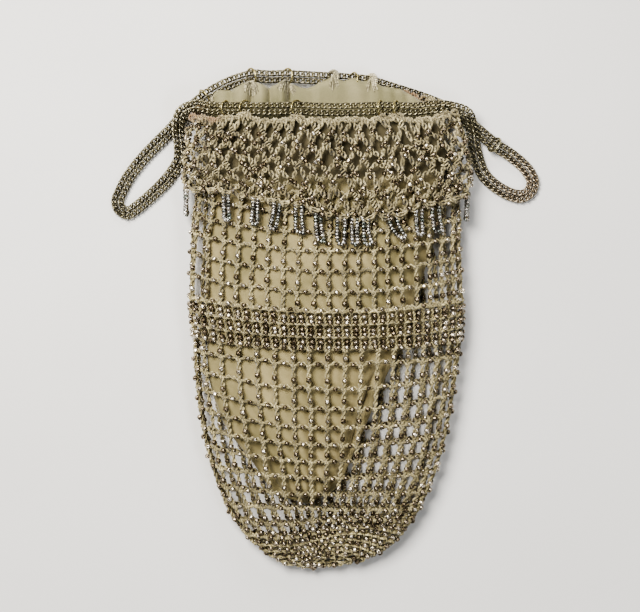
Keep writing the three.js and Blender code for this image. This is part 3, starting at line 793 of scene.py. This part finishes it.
def column_turns(count, crowding, start):
    """Turns of the columns: half on the front, half on the back between those, crowded to the right."""
    half = count // 2
    front = (np.arange(half) + start) / half
    back = (np.arange(half) + (start + 0.5) % 1) / half
    across = [share * (1 + crowding) - crowding * share**4 for share in (front, back)]
    return np.concatenate([across[0] / 2, 1 - across[1][::-1] / 2])


def front_share(turn):
    """One on the front, nothing underneath, where no thread may stand out."""
    return (turn % 1.0 < 0.5).astype(float)


def net_away(down, turn):
    """The net lies just under the surface, tucked in further where the collar grips its side folds."""
    tuck = 1.7 * np.cos(2 * math.pi * turn) ** 12 * np.clip((43 - down) / 10, 0, 1)
    return -NET_SUNK + 0.18 * front_share(turn) - tuck


def net_knots(rows, turns):
    """Ways down and turns of knots, a little out of line apart from the first and last row."""
    down = rows[:, None] + random.normal(0, 0.30, (len(rows), len(turns)))
    turn = turns[None] + random.normal(0, 0.0011, (len(rows), len(turns)))
    turn = turn + 0.002 * np.sin(rows / 17)[:, None]
    down[0] = rows[0]
    down[-1] = rows[-1]
    return down, turn


def at_net(down, turn, proud=0.0, sunk=0.0):
    """Points of the net, so much further out on the front, and sunk in all round."""
    out = proud * front_share(turn) - sunk
    return bag.at(hung(down, turn), turn, net_away(down, turn) + out)


def round_way(place_at, down, turn):
    """The way a round of the work runs at a place."""
    return place_at(down, turn + HAIR)[0] - place_at(down, turn - HAIR)[0]


print("rows:", len(UPPER_ROWS), len(BELT_ROWS), len(LOWER_ROWS), len(FOOT_ROWS))

# %% Bars between the knots
CROSSBAR_BOW = 1.15
KNOT_HALF = 0.18


def next_column(turn):
    """The turns of the next column, a whole turn on where it passes the start."""
    beside = np.roll(turn, -1, axis=1)
    beside[:, -1] += 1
    return beside


def net_bars(master, down_a, turn_a, down_b, turn_b, bow=0.0, proud=0.0):
    """Bars from one set of knots to another, bowed up by bow millimetres in the middle."""
    middle = ((down_a + down_b) / 2 - bow, (turn_a + turn_b) / 2, proud)
    return lay_bars(master, at_net, (down_a, turn_a, proud), middle, (down_b, turn_b, proud))


def bars_down(master, down, turn, proud=0.0):
    """Uprights from each row to the next."""
    return net_bars(master, down[:-1], turn[:-1], down[1:], turn[1:], 0.0, proud)


def bars_across(master, down, turn, bow, proud=0.0):
    """Crossbars from each column to the next."""
    return net_bars(master, down, turn, np.roll(down, -1, axis=1), next_column(turn), bow, proud)


def knots_across(master, down, turn):
    """A short fat bar across each knot, where the stitches of a row meet."""
    half = KNOT_HALF / turn.shape[1]
    return lay_bars(master, at_net, (down, turn - half), (down - 0.3, turn, 0.3), (down, turn + half))


nets = [
    net_knots(UPPER_ROWS, column_turns(count=40, crowding=0.06, start=0.75)),
    net_knots(LOWER_ROWS, column_turns(count=36, crowding=0.146, start=0.0)),
]
uprights = [bars_down(upright, *net) for net in nets]
crossbars = [bars_across(crossbar, *net, CROSSBAR_BOW) for net in nets]
knots = [knots_across(knot_bar, *net) for net in nets]
print("uprights", sum(len(u) for u in uprights), "crossbars", sum(len(c) for c in crossbars))

# %% Beads of the open net
BEADED = 0.93


def net_beads(down, turn, out):
    """Places, ways and outward directions of beads, which stand out less under the fringe."""
    under_fringe = np.clip((down - 44) / 6, 0.35, 1)
    place, normal = at_net(down, turn, out * under_fringe, 0.12)
    keep = random.random(down.size) < BEADED
    return [part.reshape(-1, 3)[keep] for part in (place, round_way(at_net, down, turn), normal)]


bead_batches = []
for down, turn in nets:
    found = net_beads((down[:-1] + down[1:]) / 2 + 0.2, (turn[:-1] + turn[1:]) / 2, 0.95)
    bead_batches.append(bead_batch(bead, *found, 2.3, 2.7))
    found = net_beads((down + np.roll(down, -1, axis=1)) / 2 - 0.8, (turn + next_column(turn)) / 2, 0.8)
    bead_batches.append(bead_batch(bead, *found, 2.05, 2.45))
print("beads on the open net:", sum(len(b[0]) for b in bead_batches))

# %% [markdown]
# ## Belt and foot
# Two parts of the net are worked close: a belt of three rounds across the middle, and the foot.
# Their stitches are short bars, set back a little, with an arch of thread over each gap between them.
# In the belt a gap holds a pair of beads, one above the other. In the foot it holds one bead, each round
# is shifted by half a stitch and shorter than the last, and at the very tip some beads are missing.

# %% Rounds of close stitches
TIP_FROM = 212


def close_round(top, bottom, count, phase, size, set_back, heights):
    """The bars and arches of one round, and beads at one or more heights in each gap."""
    turn = ((np.arange(count) + phase) / count)[None] + random.normal(0, 0.04 / count, (1, count))
    ends = np.array([top, bottom])[:, None] + np.zeros((1, count))
    bars = bars_down(short_bar, ends, np.repeat(turn, 2, axis=0), -set_back)
    arches = bars_across(arch_bar, ends[:1] + 0.7, turn, 1.6, 0.5)
    found = []
    for height in heights:
        down = top + (bottom - top) * height + random.normal(0, 0.15, (1, count))
        aside = turn + (0.47 + random.normal(0, 0.04, (1, count))) / count
        place, normal = at_net(down, aside, 0.8, 0.1)
        parts = [part.reshape(-1, 3) for part in (place, round_way(at_net, down, aside), normal)]
        keep = random.random(count) < (0.7 if top > TIP_FROM else 0.985)
        placed = lay_beads(bead, *parts, size * random.uniform(0.92, 1.08, count))[keep]
        found.append((placed, bead, random.random(len(placed))))
    return bars, arches, found


FOOT_STITCH = 3.4
belt = dict(count=65, phase=0.0, size=2.45, set_back=0.3, heights=(0.36, 0.77))
foot = dict(size=2.35, set_back=0.8, heights=(0.47,))
rounds = [close_round(*ends, **belt) for ends in zip(BELT_ROWS, BELT_ROWS[1:])]
for k, (top, bottom) in enumerate(zip(FOOT_ROWS, FOOT_ROWS[1:])):
    here, _ = bag.at(np.full(200, top + 2), np.arange(200) / 200)
    stitches = max(5, round(lengths(here)[-1] / FOOT_STITCH))
    rounds.append(close_round(top, bottom, stitches, 0.5 * (k % 2), **foot))
close_bars, arches, found = zip(*rounds)
close_beads = sum(found, [])
print("close stitches:", sum(len(b) for b in close_bars))

# %% Pieces of the net
FRONT_FROM = 6.9
SIDES = ((True, "front"), (False, "back"))


def on_front(placed):
    return placed[:, :, 2].mean(axis=1) > FRONT_FROM


def batches_of(placed_list, master, upper):
    """The copies on one side of the bag, with a tone for each."""
    chosen = [placed[on_front(placed) == upper] for placed in placed_list]
    return [(placed, master, random.uniform(0.35, 1, len(placed))) for placed in chosen if len(placed)]


for upper, word in SIDES:
    parts = batches_of(uprights, upright, upper) + batches_of(crossbars, crossbar, upper)
    parts += batches_of(knots, knot_bar, upper)
    net = joined(f"net_{word}", parts, net_thread)
    if upper:
        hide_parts("net_body")
    parts = batches_of(close_bars, short_bar, upper) + batches_of(arches, arch_bar, upper)
    joined(f"net_close_{word}", parts, net_thread)
joined("net_beads", bead_batches, steel_beads)
joined("belt_and_foot_beads", close_beads, steel_beads)

# %% [markdown]
# ## The collar
# The collar is a thick mesh of diamonds in doubled thread, worked over the top of the net.
# Two cords, wound opposite ways, go down from each knot. They start and end side by side under a wrap,
# so that the gaps become lens-shaped. Beads sit on and round the wraps, with a small loop here and there.
# The upper edge is pulled up at the rings and the side folds. The lower edge ends in scallops, from which
# the fringe hangs, and it sways: higher on the left, lower right of the middle.

# %% Where the collar lies
# A pull on the upper edge is its turn, its width as a turn, and how far it goes up and over.
DIAMONDS = 40
COLLAR_OUT = 1.35
COLLAR_LEVELS = np.array([0.9, 5.4, 10.0, 14.6, 19.2, 23.8, 28.2, 32.2])
DRAWN_UP = [(turn_at(bag, x, 0), 0.012, 2.4, 0.4) for x in FRONT_RINGS]
DRAWN_UP += [(0.0, 0.030, 3.0, 0.3), (0.5, 0.045, 3.6, 0.3)]
DRAWN_UP += [(turn_at(bag, 36, 0, True), 0.065, 4.6, 0.9)]
SWAY_AT = (0, 0.08, 0.2, 0.4, 0.5, 0.57, 0.75, 0.9, 1)
SWAY = (0, -1.5, -2.6, -2.6, 1.0, 2.6, 2.2, 1.8, 0)


def sway(turn):
    """How much lower the collar's lower edge hangs, across the front."""
    return np.interp(2 * (np.asarray(turn, float) % 1.0), SWAY_AT, SWAY)


def at_collar(down, turn, out=0.0):
    """Points of the collar, which is looser and shorter at the side folds."""
    down, turn = np.asarray(down, float), np.asarray(turn, float)
    slack = 1.2 * np.cos(2 * math.pi * turn) ** 6
    short = down * (1 - 0.08 * np.cos(2 * math.pi * turn) ** 4) + sway(turn) * np.clip(down / 32, 0, 1.2) ** 2
    point, normal = bag.at(hung(short, turn), turn, COLLAR_OUT + slack + out)
    for at, spread, up, over in DRAWN_UP:
        pull = bell(turns_apart(turn, at), spread) * np.exp(-down / 6)
        point[..., 1] += up * pull
        point[..., 2] += over * pull
    return point, normal


def collar_bars(master, down_a, turn_a, down_b, turn_b, bow_down=0.0, bow_turn=0.0, out=0.0):
    middle = ((down_a + down_b) / 2 + bow_down, (turn_a + turn_b) / 2 + bow_turn, out)
    return lay_bars(master, at_collar, (down_a, turn_a), middle, (down_b, turn_b))


knot_down, knot_turn = [], []
for level, down in enumerate(COLLAR_LEVELS):
    turn = (np.arange(DIAMONDS) + 0.5 * (level % 2)) / DIAMONDS
    knot_turn.append(turn + random.normal(0, 0.0030, DIAMONDS))
    knot_down.append(down + random.normal(0, 0.75, DIAMONDS) * (level > 0))
print("collar knots:", len(COLLAR_LEVELS) * DIAMONDS)

# %% Cords between the collar's knots
BESIDE = 0.0026
UNDER_WRAP = 0.8
collar_bar = twisted_bar(0.9, 0.68, 0.60, 6, lumps=0.25)
collar_bar_left = twisted_bar(-0.9, 0.68, 0.60, 6, lumps=0.25)
collar_wrap = twisted_bar(1, 0.74, 0.64)
cords, cords_left = [], []
for level in range(len(COLLAR_LEVELS) - 1):
    for step, way, master, made in ((0, -1, collar_bar_left, cords_left), (1, 1, collar_bar, cords)):
        other = (np.arange(DIAMONDS) + step - (level + 1) % 2) % DIAMONDS
        down_a, turn_a = knot_down[level] + UNDER_WRAP * (level > 0), knot_turn[level] + way * BESIDE
        down_b, turn_b = knot_down[level + 1][other] - UNDER_WRAP, knot_turn[level + 1][other] - way * BESIDE
        turn_b = turn_b + np.round(turn_a - turn_b)
        bow = way * random.normal(0.0004, 0.0014, DIAMONDS)
        sag = random.normal(0, 0.3, DIAMONDS)
        made.append(collar_bars(master, down_a, turn_a, down_b, turn_b, sag, bow, 0.35 * way))
print("collar cords:", sum(len(part) for part in cords + cords_left))

# %% Wraps, loops, hem and scallops
BELOW, FAR_BELOW = 0.9, 2.3
ASIDE = 0.0060
WRAP_HALF = 1.3
LOOPED = 0.12
HEM_STITCHES = 60
picot = put_away(torus(0.95, 0.30, 8, 4))
wraps, loops = [], []
for down, turn in zip(knot_down[1:], knot_turn[1:]):
    wraps.append(collar_bars(collar_wrap, down - WRAP_HALF, turn, down + WRAP_HALF, turn))
    for shift_down, shift_turn in ((BELOW, -ASIDE), (BELOW, ASIDE), (FAR_BELOW, 0.0)):
        place, normal = at_collar(down + shift_down, turn + shift_turn, 0.25)
        lean = unit(normal + random.normal(0, 0.8, normal.shape))
        along = unit(np.cross(lean, np.array([0.9, 0.3, 0.2])))
        frames = np.stack([along, np.cross(lean, along), lean], axis=1)
        placed = turned_copies(picot, place, frames, random.uniform(0.85, 1.15, DIAMONDS))
        loops.append(placed[(front_share(turn) > 0) & (random.random(DIAMONDS) < LOOPED)])
hem_turn = np.arange(HEM_STITCHES) / HEM_STITCHES
hem_down = 1.0 + random.normal(0, 0.45, HEM_STITCHES)
hem_ends = (hem_down, hem_turn, np.roll(hem_down, -1), hem_turn + 1 / HEM_STITCHES)
hems = [collar_bars(crossbar, *hem_ends, bow) for bow in (-0.7, 0.8)]
last_down, last_turn = knot_down[-1], knot_turn[-1]
after_turn = np.roll(last_turn, -1)
after_turn = after_turn + (after_turn < last_turn)
for bow in (1.6, 2.8):
    cords.append(collar_bars(collar_bar, last_down, last_turn, np.roll(last_down, -1), after_turn, bow))
for upper, word in SIDES:
    parts = batches_of(cords, collar_bar, upper) + batches_of(cords_left, collar_bar_left, upper)
    parts += batches_of(wraps, collar_wrap, upper) + batches_of(loops, picot, upper)
    parts += batches_of(hems, crossbar, upper)
    collar = joined(f"collar_{word}", parts, collar_thread)
    if upper:
        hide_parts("collar")

# %% Beads of the collar
BEAD_SPOTS = ((0.0, 0.0, 0.8), (BELOW, ASIDE, 0.3), (BELOW, -ASIDE, 0.3), (FAR_BELOW, 0, 0.3))
collar_beads = []
for level in range(1, len(COLLAR_LEVELS)):
    for shift_down, shift_turn, share in BEAD_SPOTS:
        keep = random.random(DIAMONDS) < share
        down, turn = knot_down[level][keep] + shift_down, knot_turn[level][keep] + shift_turn
        place, normal = at_collar(down, turn, 0.85 * front_share(turn) - 0.1)
        collar_beads.append(bead_batch(bead, place, round_way(at_collar, down, turn), normal, 1.9, 2.5))
joined("collar_beads", collar_beads, steel_beads)

# %% [markdown]
# ## The fringe
# Loops of bright beads hang from the collar's scallops, front and back. No two are alike: each has its own
# place, widths and slant. A loop is one string of beads that goes down and comes up again, so its line
# is worked out first, and beads are threaded on it at even steps, each with its hole along the line.

# %% Strands and even steps


def tubes(lines, radius, sides):
    """Round strands along lines of points, with closed ends."""
    copies, steps = lines.shape[:2]
    along = unit(np.gradient(lines, axis=1))
    side = unit(np.cross(along, np.array([0.13, 0.21, 0.97])))
    third = np.cross(along, side)
    angle = 2 * math.pi * np.arange(sides) / sides
    ring = side[:, :, None] * np.cos(angle)[:, None] + third[:, :, None] * np.sin(angle)[:, None]
    placed = above_table((lines[:, :, None] + radius * ring).reshape(copies, steps * sides, 3))
    j = np.arange(sides)
    k = (j + 1) % sides
    quads = np.stack([j, k, k + sides, j + sides], axis=1) + sides * np.arange(steps - 1)[:, None, None]
    corners = np.concatenate([quads.ravel(), j[::-1], (steps - 1) * sides + j])
    return placed, {"corners": corners, "counts": np.array([4] * (steps - 1) * sides + [sides] * 2)}


def strands(name, lines, radius, finish, sides=5):
    placed, strand = tubes(np.array(lines), radius, sides)
    return joined(name, [(placed, strand, random.random(len(placed)))], finish)


def points_at(line, reach, at):
    """Points at some distances along a line."""
    return np.stack([np.interp(at, reach, line[:, c]) for c in range(3)], axis=1)


def even_steps(line, pitch):
    """Points at even steps along a line, and its direction there."""
    reach = lengths(line)
    count = max(2, int(reach[-1] / pitch))
    at = (np.arange(count) + 0.5) * reach[-1] / count
    behind, here, ahead = (points_at(line, reach, at + off) for off in (-0.1, 0, 0.1))
    return here, unit(ahead - behind)


print("strand helpers ready")

# %% Strings of beads
# A loop is its place across, its half widths above and below, and its slant.
LOOPS = [
    (-59.5, 1.0, 1.2, -2.2), (-42.7, 1.0, 1.8, 0.9), (-30.4, 1.0, 1.9, 0.0), (-21.8, 1.2, 1.6, -1.5),
    (-11.0, 1.3, 2.4, 1.1), (-2.0, 1.1, 2.2, 1.8), (7.2, 1.6, 1.6, 0.0), (13.2, 1.1, 1.3, 0.4),
    (18.6, 1.0, 2.2, 1.3), (32.0, 1.6, 1.4, 5.2), (41.2, 1.2, 1.3, 1.1),
    (48.6, 1.4, 2.0, 1.8), (61.0, 1.2, 2.0, 0.0),
]
AROUND = 244
FRINGE_TOP = 34.2
FRINGE_LONG = 11.4
FRINGE_PITCH = 1.40


def loop_line(centre, narrow, wide, lean, back):
    """The line of one fringe loop: down, round and up again."""
    t = np.linspace(0, 1, 41)
    sag = np.sin(math.pi * t)
    half = narrow + (wide - narrow) * sag**2
    across = lean * (sag - 0.5) - half * np.sign(np.cos(math.pi * t)) * np.abs(np.cos(math.pi * t)) ** 0.35
    turn = centre + across / AROUND
    at_fold = np.cos(2 * math.pi * turn) ** 8
    down = FRINGE_TOP + FRINGE_LONG * sag**0.5 + random.normal(0, 0.4) + sway(turn)
    down = down - 2.6 * np.cos(2 * math.pi * turn) ** 4
    return bag.at(hung(down, turn), turn, (1.15 if back else 1.4) + 1.2 * at_fold)


for upper, word in SIDES:
    fringe_batches, strings = [], []
    for x, *shape in LOOPS:
        line, normal = loop_line(turn_at(bag, x, 42, not upper), *shape, not upper)
        place, along = even_steps(line, FRINGE_PITCH)
        outward = np.tile(normal[len(line) // 2], (len(place), 1))
        fringe_batches.append(bead_batch(fringe_bead, place, along, outward, 2.1, 2.35))
        strings.append(line)
    fringe = joined(f"fringe_beads_{word}", fringe_batches, bright_beads)
    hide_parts(f"fringe_{word}")
    strands(f"fringe_strings_{word}", strings, 0.2, collar_thread, 4)

# %% [markdown]
# ## The chains
# The drawstring is a pair of curb chains. A curb link is an oval ring, twisted so that it can lie flat
# and still pass through the next one: a torus whose halves are moved apart in edit mode, and which
# Simple Deform then twists. The way of the pair is a closed line of knots: left loop, front rings,
# right loop and back rings. Each chain lies half the pair's spacing to one side of it.

# %% One curb link
LINK_PITCH = 2.3
LINK_STRETCH = 0.6
LINK_TWIST = -105
link_model = torus(1.05, 0.48, 14, 5)
for side in (1, -1):
    bpy.ops.object.mode_set(mode="EDIT")
    bpy.ops.mesh.select_all(action="DESELECT")
    bpy.ops.object.mode_set(mode="OBJECT")
    for vertex in link_model.data.vertices:
        vertex.select = vertex.co.x * side > 0
    bpy.ops.object.mode_set(mode="EDIT")
    bpy.ops.transform.translate(value=(LINK_STRETCH * side, 0, 0))
    bpy.ops.object.mode_set(mode="OBJECT")
twist = link_model.modifiers.new("twist", "SIMPLE_DEFORM")
twist.deform_method = "TWIST"
twist.deform_axis = "X"
twist.angle = math.radians(LINK_TWIST)
bpy.ops.object.modifier_apply(modifier="twist")
link = put_away(link_model)
print("link size", np.round(np.ptp(link["points"], axis=0), 2), "triangles", int((link["counts"] - 2).sum()))

# %% The way of the pair
WAY = np.array(
    [
        (-62.0, 92.2, 2.2), (-68.6, 85.1, 1.5), (-75.2, 78.5, 1.4), (-81.4, 71.9, 1.4), (-87.1, 64.5, 1.4),
        (-90.6, 57.9, 1.4), (-92.2, 53.5, 1.4), (-91.2, 50.0, 1.4), (-88.0, 48.2, 1.4), (-84.6, 49.9, 1.4),
        (-79.2, 54.3, 1.4), (-73.0, 60.1, 1.4), (-68.2, 65.8, 1.4), (-64.7, 71.9, 1.5), (-64.4, 78.5, 2.0),
        (-65.0, 84.9, 4.2), (-63.4, 91.9, 7.9), (-57.4, 94.7, 10.4), (-50.2, 93.6, 12.2), (-43.6, 93.2, 13.4),
        (-34.8, 93.2, 14.5), (-24.0, 93.0, 15.0), (-12.3, 93.2, 15.6), (-3.0, 92.8, 15.4), (5.0, 92.6, 15.3),
        (14.0, 92.9, 15.2), (24.2, 93.2, 15.2), (31.0, 93.2, 14.8), (39.6, 93.2, 13.4), (47.5, 94.2, 12.2),
        (54.9, 94.0, 11.0), (62.7, 91.5, 8.1), (65.4, 84.0, 4.0), (66.6, 77.0, 1.9), (68.4, 70.4, 1.4),
        (71.0, 64.8, 1.4), (75.8, 60.2, 1.4), (81.6, 56.8, 1.4), (87.2, 55.6, 1.4), (91.0, 57.6, 1.4),
        (92.4, 61.4, 1.4), (91.2, 65.4, 1.4), (87.4, 70.0, 1.4), (81.8, 74.4, 1.9), (75.2, 78.4, 3.3),
        (69.6, 83.4, 1.9), (62.8, 89.0, 1.4), (55.9, 93.7, 1.35), (46.2, 98.0, 1.4), (34.0, 102.0, 1.8),
        (20.2, 105.8, 4.9), (12.6, 106.7, 4.9), (3.5, 107.4, 4.9), (-6.4, 108.0, 4.0), (-16.7, 108.5, 4.9),
        (-24.8, 108.4, 4.1), (-32.6, 108.5, 4.9), (-43.4, 105.2, 3.6), (-53.4, 99.4, 3.9),
    ]
)
CHAIN_APART = 3.0


def beside_way(side):
    """The knots of one chain, set off sideways from the pair's way."""
    step = np.roll(WAY, -1, axis=0) - np.roll(WAY, 1, axis=0)
    across = unit(np.stack([-step[:, 1], step[:, 0], np.zeros(len(WAY))], axis=1))
    return WAY + across * side * CHAIN_APART / 2


def smooth_loop(knots, parts=24):
    """A closed smooth line through knots."""
    a, b, c, d = (np.roll(knots, shift, axis=0)[:, None] for shift in (1, 0, -1, -2))
    t = (np.arange(parts) / parts)[None, :, None]
    line = 0.5 * (2 * b + (c - a) * t + (2 * a - 5 * b + 4 * c - d) * t**2 + (3 * b - a - 3 * c + d) * t**3)
    return line.reshape(-1, 3)


print("way of the pair:", len(WAY), "knots")

# %% Links along both chains


def links_along(knots):
    """Links at even steps round a closed chain, each rolled a little, and the chain's length."""
    line = smooth_loop(knots)
    line = np.vstack([line, line[:1]])
    reach = lengths(line)
    count = round(reach[-1] / LINK_PITCH)
    at = np.arange(count) * reach[-1] / count
    behind, here, ahead = (points_at(line, reach, (at + off) % reach[-1]) for off in (-0.8, 0, 0.8))
    along = unit(ahead - behind)
    side = unit(np.cross(np.array([0.0, 0.0, 1.0]), along))
    side, up = spun(side, np.cross(along, side), random.normal(0, 0.08, count))
    return turned_copies(link, here, np.stack([along, side, up], axis=1)), reach[-1]


for name, side in (("chain_outer", -1), ("chain_inner", 1)):
    placed, length = links_along(beside_way(side))
    chain = joined(f"{name}_links", [(placed, link, random.random(len(placed)))], chain_metal)
    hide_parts(name)
    print(name, "links:", len(placed), "length mm:", round(length, 1))

# %% [markdown]
# ## The rings
# Each ring is a plain round brass wire, so a finer torus takes the place of the coarse solid.
# Its axis runs along the chains and is then tilted, because the rings have fallen over on the mouth.

# %% Rings on the chains
# A ring is the knot of the chains' way that it sits on, and its tilt in degrees.
RINGS = {
    "ring_front_1": (19, 20), "ring_front_2": (20, 40), "ring_front_3": (22, 40), "ring_front_4": (26, 20),
    "ring_front_5": (27, 25), "ring_slide": (44, 32), "ring_back_6": (50, 34), "ring_back_5": (51, 30),
    "ring_back_4": (52, 42), "ring_back_3": (54, 40), "ring_back_2": (56, 36), "ring_back_1": (58, 25),
}
RING_RADIUS = 3.45
RING_WIRE = 0.45
ring = put_away(torus(RING_RADIUS, RING_WIRE, 40, 10))
ring_frames = {}
for name, (row, tilt) in RINGS.items():
    step = WAY[(row + 1) % len(WAY)] - WAY[row - 1]
    side = unit(np.array([-step[1], step[0], 0.0]))
    along = unit(step)
    up = unit(np.cross(along, side))
    axis = along * math.cos(math.radians(tilt)) + up * math.sin(math.radians(tilt))
    third = np.cross(axis, side)
    ring_frames[name] = (WAY[row], side, third, axis)
    placed = (WAY[row] + ring["points"] @ np.stack([side, third, axis]))[None]
    finish = slide_metal if name == "ring_slide" else ring_brass
    made = joined(f"{name}_wire", [(placed, ring, np.array([0.5]))], finish)
    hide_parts(name)

# %% [markdown]
# ## Ties at the rings
# The rings are sewn on with thread. Behind, cream strands go from a ring over the lining's edge and fan out
# on the cloth, two fans wider than the rest. In front, khaki strands go down to the collar. Two rings behind
# are wound with pale thread all round. One ring behind has no fan, and the loose slide ring has no thread.

# %% Fans of thread
# A fan is its number of strands, half its width, its longest strand, and 1 or -1: it starts at the ring's
# near or far side.
FANS = {
    "ring_back_1": (12, 2.9, 3.4, 1), "ring_back_2": (54, 3.4, 5.0, 1), "ring_back_3": (54, 4.4, 5.0, 1),
    "ring_back_4": (20, 2.9, 3.4, -1), "ring_back_6": (20, 2.9, 3.4, -1),
}
TIES_FRONT = 8
LINING_HALF = 50


def tie_behind(start, x, half, longest):
    """A strand from a ring over the lining's edge, into the cloth."""
    spread = random.uniform(-1, 1) * half
    reach = random.uniform(2.0, longest) * (1 - 0.12 * abs(spread))
    spots = np.clip(x + spread * np.array([0.3, 0.7, 1.0]), -LINING_HALF, LINING_HALF)
    turns = np.array([turn_at(inner_bag, spot, 0, True) for spot in spots])
    on_cloth = lining_place(np.array([0.0, 0.45, 1.0]) * reach, turns)
    on_cloth[:, 2] += (0.4, 0.3, -0.3)
    line = np.vstack([start, on_cloth + random.normal(0, 0.12, (3, 3))])
    return points_at(line, range(4), np.linspace(0, 3, 10))


def tie_in_front(start, x):
    """A bowed strand from a ring to the collar's upper edge."""
    turn = turn_at(bag, x + random.uniform(-1, 1) * 2.0, 0)
    end = at_collar(random.uniform(0.5, 2.5), turn, 0.5)[0]
    t = np.linspace(0, 1, 7)[:, None]
    bow = random.normal(0, 0.35, 3) + np.array([0, 0, 0.8])
    return start * (1 - t) + end * t + bow * np.sin(math.pi * t)


cream_lines, khaki_lines = [], []
for name, (centre, side, third, _) in ring_frames.items():
    low = side if side[1] < 0 else -side
    high = third if third[2] > 0 else -third
    count, *fan, near = FANS.get(name, (TIES_FRONT if "front" in name else 0, 1))
    for _ in range(count):
        swing = random.uniform(0.2, 0.9) if fan else random.uniform(-0.25, 0.25)
        start = centre + RING_RADIUS * (near * low * math.cos(swing) + high * math.sin(swing))
        if fan:
            cream_lines.append(tie_behind(start, centre[0], *fan))
        else:
            khaki_lines.append(tie_in_front(start, centre[0]))
strands("ring_ties_back", cream_lines, 0.27, cream_thread)
strands("ring_ties_front", khaki_lines, 0.34, collar_thread)

# %% Thread wound round two rings
WOUND_TURNS = 26
WOUND_RADIUS = 0.62
wound = []
for name in ("ring_back_4", "ring_back_6"):
    centre, side, third, axis = ring_frames[name]
    t = np.linspace(0, 1, 10 * WOUND_TURNS)[:, None]
    round_ring, round_wire = 2 * math.pi * t, 2 * math.pi * WOUND_TURNS * t
    outward = side * np.cos(round_ring) + third * np.sin(round_ring)
    off = RING_RADIUS + WOUND_RADIUS * np.cos(round_wire)
    wound.append(centre + outward * off + axis * WOUND_RADIUS * np.sin(round_wire))
strands("ring_windings", wound, 0.30, winding_thread)
